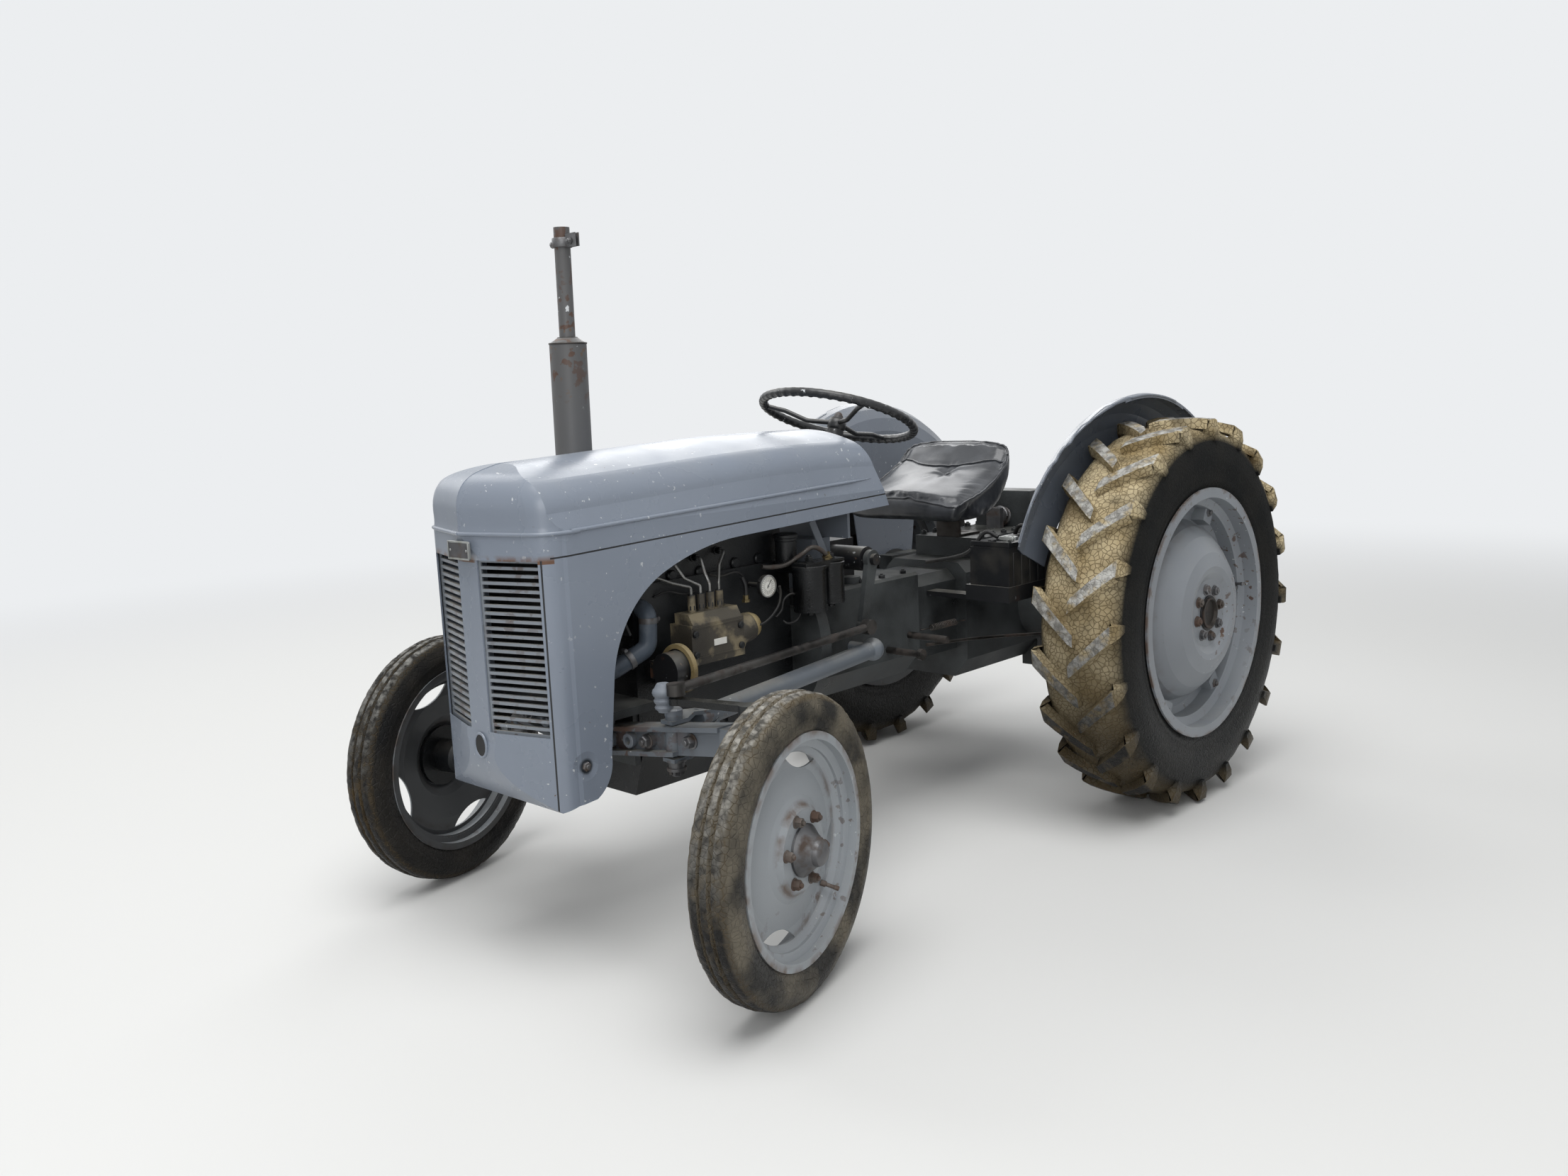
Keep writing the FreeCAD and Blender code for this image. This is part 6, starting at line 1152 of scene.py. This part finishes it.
bonnet_bead()
badge_plate()
handle_hole()
hinge_bolts()
radiator_fins()
guard_edges()
axle_fittings()
steering_boots()
steering_grips()
exhaust_clamp()
engine_bolts()
fuel_pipes()
pump_dress()
dial()
filter_dress()
hose_clips()
battery_dress()
coil_spring()
housing_bolts()
brake_rods()


# Seat. Each row runs from the middle of the seat to its left edge, as (x, y, z).
SEAT_ROWS = (
    ((0, 1219, 984), (80, 1219, 977), (160, 1220, 966), (212, 1226, 958), (226, 1236, 956)),
    ((0, 1262, 1000), (80, 1262, 992), (160, 1264, 978), (220, 1268, 966), (233, 1270, 962)),
    ((0, 1340, 1018), (80, 1342, 1013), (160, 1348, 1000), (222, 1350, 987), (235, 1352, 982)),
    ((0, 1416, 1038), (80, 1424, 1036), (160, 1436, 1030), (222, 1440, 1026), (235, 1442, 1022)),
    ((0, 1454, 1057), (80, 1470, 1058), (160, 1508, 1066), (218, 1516, 1070), (232, 1514, 1064)),
    ((0, 1506, 1096), (80, 1516, 1096), (160, 1536, 1098), (208, 1536, 1096), (224, 1532, 1086)),
    ((0, 1552, 1134), (80, 1552, 1134), (160, 1548, 1130), (196, 1542, 1118), (212, 1536, 1100)),
    ((0, 1570, 1141), (80, 1568, 1140), (158, 1556, 1133), (198, 1546, 1118), (214, 1538, 1098)),
)
SEAT_UNDER = (
    ((0, 1576, 1128), (80, 1573, 1126), (160, 1561, 1119), (204, 1550, 1106), (218, 1540, 1090)),
    ((0, 1572, 1060), (80, 1568, 1056), (158, 1558, 1050), (206, 1546, 1042), (224, 1530, 1030)),
    ((0, 1544, 990), (80, 1540, 984), (150, 1530, 976), (200, 1510, 966), (220, 1470, 952)),
    ((0, 1480, 922), (80, 1476, 920), (148, 1460, 920), (196, 1440, 918), (214, 1400, 916)),
    ((0, 1400, 908), (80, 1400, 908), (148, 1396, 908), (196, 1380, 908), (212, 1340, 909)),
    ((0, 1300, 908), (80, 1300, 908), (140, 1300, 908), (190, 1296, 908), (206, 1290, 909)),
    ((0, 1234, 910), (80, 1234, 910), (150, 1236, 910), (190, 1242, 910), (204, 1252, 911)),
    ((0, 1220, 930), (80, 1220, 928), (158, 1222, 926), (206, 1232, 924), (218, 1244, 924)),
)


def loft_rows(rows, spans):
    """A closed skin over rows given for one half: each row is mirrored and the rows join into a loop."""
    bm = bmesh.new()
    rings = []
    for row in rows:
        half = [Vector(p) for p in row]
        full = [Vector((-p.x, p.y, p.z)) for p in reversed(half[1:])] + half
        rings.append([bm.verts.new(at(*p)) for p in full])
    for k in range(len(rings)):
        near, far = rings[k], rings[(k + 1) % len(rings)]
        for j in range(len(near) - 1):
            bm.faces.new((near[j], near[j + 1], far[j + 1], far[j]))
    for end in (0, -1):
        bm.faces.new([ring[end] for ring in rings])
    bmesh.ops.recalc_face_normals(bm, faces=bm.faces)
    return bm


def swell(obj, cap_mm):
    """Blows the cushion up a little as cloth round its stuffing, then fixes it, no point moving past the cap."""
    bpy.context.view_layer.objects.active = obj
    start = [v.co.copy() for v in obj.data.vertices]
    cloth = obj.modifiers.new("stuffing", "CLOTH")
    cloth.settings.use_pressure = True
    cloth.settings.uniform_pressure_force = 4.0
    cloth.settings.effector_weights.gravity = 0.0
    cloth.settings.tension_stiffness = 15
    cloth.settings.compression_stiffness = 15
    for number in range(1, 21):
        bpy.context.scene.frame_set(number)
    blown = obj.evaluated_get(bpy.context.evaluated_depsgraph_get())
    moved = [v.co.copy() for v in blown.data.vertices]
    obj.modifiers.remove(cloth)
    bpy.context.scene.frame_set(1)
    for vert, before, after in zip(obj.data.vertices, start, moved):
        shift = after - before
        if shift.length > cap_mm * MM:
            shift *= cap_mm * MM / shift.length
        vert.co = before + shift


def seat():
    """Padded vinyl pan seat: a swollen cushion with two sewn welts, a tuft and creases round it."""
    bm = loft_rows(SEAT_ROWS + SEAT_UNDER, 1)
    mesh = bpy.data.meshes.new("seat_cushion")
    bm.to_mesh(mesh)
    bm.free()
    obj = bpy.data.objects.new("seat_cushion", mesh)
    bpy.context.scene.collection.objects.link(obj)
    bpy.context.view_layer.objects.active = obj
    for kind, values in (("SUBSURF", {"levels": 2}), ("REMESH", {"mode": "VOXEL", "voxel_size": 0.006})):
        step = obj.modifiers.new(kind.lower(), kind)
        for key, value in values.items():
            setattr(step, key, value)
    shaped = bpy.data.meshes.new_from_object(obj.evaluated_get(bpy.context.evaluated_depsgraph_get()))
    obj.modifiers.clear()
    obj.data = shaped
    swell(obj, 7)
    welt = eased([at(x, y, z) for x, y, z in ((-228, 1520, 1064), (-160, 1508, 1066), (-80, 1470, 1058), (0, 1454, 1057),
                                              (80, 1470, 1058), (160, 1508, 1066), (228, 1520, 1064))], 12)
    tuft = at(46, 1424, 1040)
    for vert in obj.data.vertices:
        near = min((vert.co - p).length for p in welt) if vert.co.z > 1.02 else 1.0
        push = 0.007 * math.exp(-(near / 0.011) ** 2)
        away = (vert.co - tuft).length
        push += 0.015 * math.exp(-(away / 0.030) ** 2)
        ray = math.atan2(vert.co.y - tuft.y, vert.co.x - tuft.x)
        push += 0.0022 * math.exp(-(away / 0.075) ** 2) * math.sin(ray * 7) * min(away / 0.02, 1)
        push += 0.0012 * noise.noise(vert.co * 18)
        vert.co.z -= push
    for number in range(2):
        obj.data.update()
    obj.data.shade_smooth()
    paint(obj, VINYL)
    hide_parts("seat")
    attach(obj, "chassis")
    bm = bmesh.new()
    rim_rows = [row[-1] for row in SEAT_ROWS[:7]]
    left = [Vector(p) for p in rim_rows]
    edge = ([Vector((-p.x, p.y, p.z)) for p in reversed(left)] + [Vector(p) for p in reversed(SEAT_ROWS[0][1:-1])][::-1][::-1])
    front = [Vector((-p[0], p[1], p[2])) for p in reversed(SEAT_ROWS[0][1:-1])] + [Vector(p) for p in SEAT_ROWS[0][:-1]]
    back = [Vector(p) for p in reversed(SEAT_ROWS[7][:-1])]
    back += [Vector((-p.x, p.y, p.z)) for p in reversed(back[:-1])]
    loop = [Vector((-p.x, p.y, p.z)) for p in reversed(left)] + front + left + back
    for line, closed in ((loop, True), (None, False)):
        places = eased([at(*p) for p in line], 6, True) if line else welt
        on_skin = []
        for place in places:
            hit, near, normal, face = obj.closest_point_on_mesh(place)
            on_skin.append(near + normal * 0.0012)
        sweep(bm, on_skin, round_section(3.4, 8), closed=closed)
    piece("seat_welts", bm, "chassis", VINYL, 60)
    bm = bmesh.new()
    hit, near, normal, face = obj.closest_point_on_mesh(tuft)
    lathe(bm, stood(Matrix.Translation(near), (0, 0, 0), normal), [(-3, 0), (-3, 9), (1, 9), (3.4, 6), (4, 0)], 20)
    piece("seat_button", bm, "chassis", VINYL, 40)


seat()


# Floor, light and camera
def floor():
    """A wide pale sheet under the wheels."""
    mesh = bpy.data.meshes.new("floor")
    reach = 30.0
    mesh.from_pydata([(-reach, -reach, 0), (reach, -reach, 0), (reach, reach, 0), (-reach, reach, 0)], [],
                     [(0, 1, 2, 3)])
    sheet = bpy.data.objects.new("floor", mesh)
    bpy.context.scene.collection.objects.link(sheet)
    material, tree, shader, place = new_finish("pale_floor")
    shader.inputs["Base Color"].default_value = linear("#d2d2d0")
    shader.inputs["Roughness"].default_value = 0.9
    reach = add(tree, "VectorMath", {0: place}, operation="LENGTH").outputs["Value"]
    far = add(tree, "MapRange", {"Value": reach, "From Min": 3.0, "From Max": 8.5}, interpolation_type="SMOOTHSTEP")
    seen = add(tree, "Math", {0: far.outputs[0], 1: add(tree, "LightPath").outputs["Is Camera Ray"]},
               operation="MULTIPLY").outputs[0]
    haze = add(tree, "Emission", {"Color": linear("#eceef0"), "Strength": 1.0}).outputs[0]
    output = tree.nodes["Material Output"]
    both = add(tree, "MixShader", {0: seen, 1: shader.outputs[0], 2: haze}).outputs[0]
    tree.links.new(both, output.inputs["Surface"])
    paint(sheet, material)


def lamp(name, place, target, size, power):
    light = bpy.data.lights.new(name, "AREA")
    light.shape = "DISK"
    light.size = size
    light.energy = power
    obj = bpy.data.objects.new(name, light)
    obj.location = place
    obj.rotation_euler = (Vector(target) - Vector(place)).to_track_quat("-Z", "Y").to_euler()
    bpy.context.scene.collection.objects.link(obj)


def studio():
    """A pale room with soft light from above, and a broad pale screen behind that bright faces mirror."""
    world = bpy.data.worlds.new("pale_room")
    bpy.context.scene.world = world
    world.use_nodes = True
    tree = world.node_tree
    wall = tree.nodes["Background"]
    wall.inputs["Color"].default_value = linear("#eef0f3")
    wall.inputs["Strength"].default_value = 0.44
    seen = add(tree, "Background", {"Color": linear("#eceef0"), "Strength": 1.0}).outputs[0]
    path = add(tree, "LightPath")
    mirrored = add(tree, "Math", {0: path.outputs["Is Glossy Ray"], 1: path.outputs["Is Transmission Ray"]},
                   operation="MAXIMUM").outputs[0]
    direct = add(tree, "Math", {0: path.outputs["Is Camera Ray"], 1: mirrored}, operation="MAXIMUM").outputs[0]
    both = add(tree, "MixShader", {0: direct, 1: wall.outputs[0], 2: seen}).outputs[0]
    tree.links.new(both, tree.nodes["World Output"].inputs["Surface"])
    lamp("overhead", (1.5, -2.2, 7.0), (0, 0, 0.7), 6.0, 430)
    lamp("screen", (-5.2, 5.6, 5.4), (0, 0, 0.9), 6.0, 210)
    lamp("right", (-6.0, -1.6, 5.0), (0, 0, 0.8), 5.0, 150)
    lamp("front", (4.0, -5.2, 2.6), (0, 0, 0.7), 3.0, 90)


CAMERA_PLACE = at(2491.13, -1876.73, 1322.8)
CAMERA_AZIMUTH = 43.97
CAMERA_ELEVATION = 8.8
CAMERA_ROLL = -2.56
SENSOR_WIDTH = 36.0
FOCAL_SHARE = 0.81681


def camera():
    """Stands where the photograph was taken. Its focal length is a share of the sensor's width."""
    turn, rise, roll = (math.radians(a) for a in (CAMERA_AZIMUTH, CAMERA_ELEVATION, CAMERA_ROLL))
    back = Vector((math.sin(turn) * math.cos(rise), -math.cos(turn) * math.cos(rise), math.sin(rise)))
    level = Vector((math.cos(turn), math.sin(turn), 0))
    up = back.cross(level)
    right = level * math.cos(roll) + up * math.sin(roll)
    head = -level * math.sin(roll) + up * math.cos(roll)
    data = bpy.data.cameras.new("camera")
    data.sensor_fit = "HORIZONTAL"
    data.sensor_width = SENSOR_WIDTH
    data.lens = SENSOR_WIDTH * FOCAL_SHARE
    obj = bpy.data.objects.new("camera", data)
    turned = Matrix((right, head, back)).transposed().to_4x4()
    obj.matrix_world = Matrix.Translation(CAMERA_PLACE) @ turned
    bpy.context.scene.collection.objects.link(obj)
    bpy.context.scene.camera = obj


floor()
studio()
camera()
bpy.context.scene.view_settings.view_transform = "Standard"
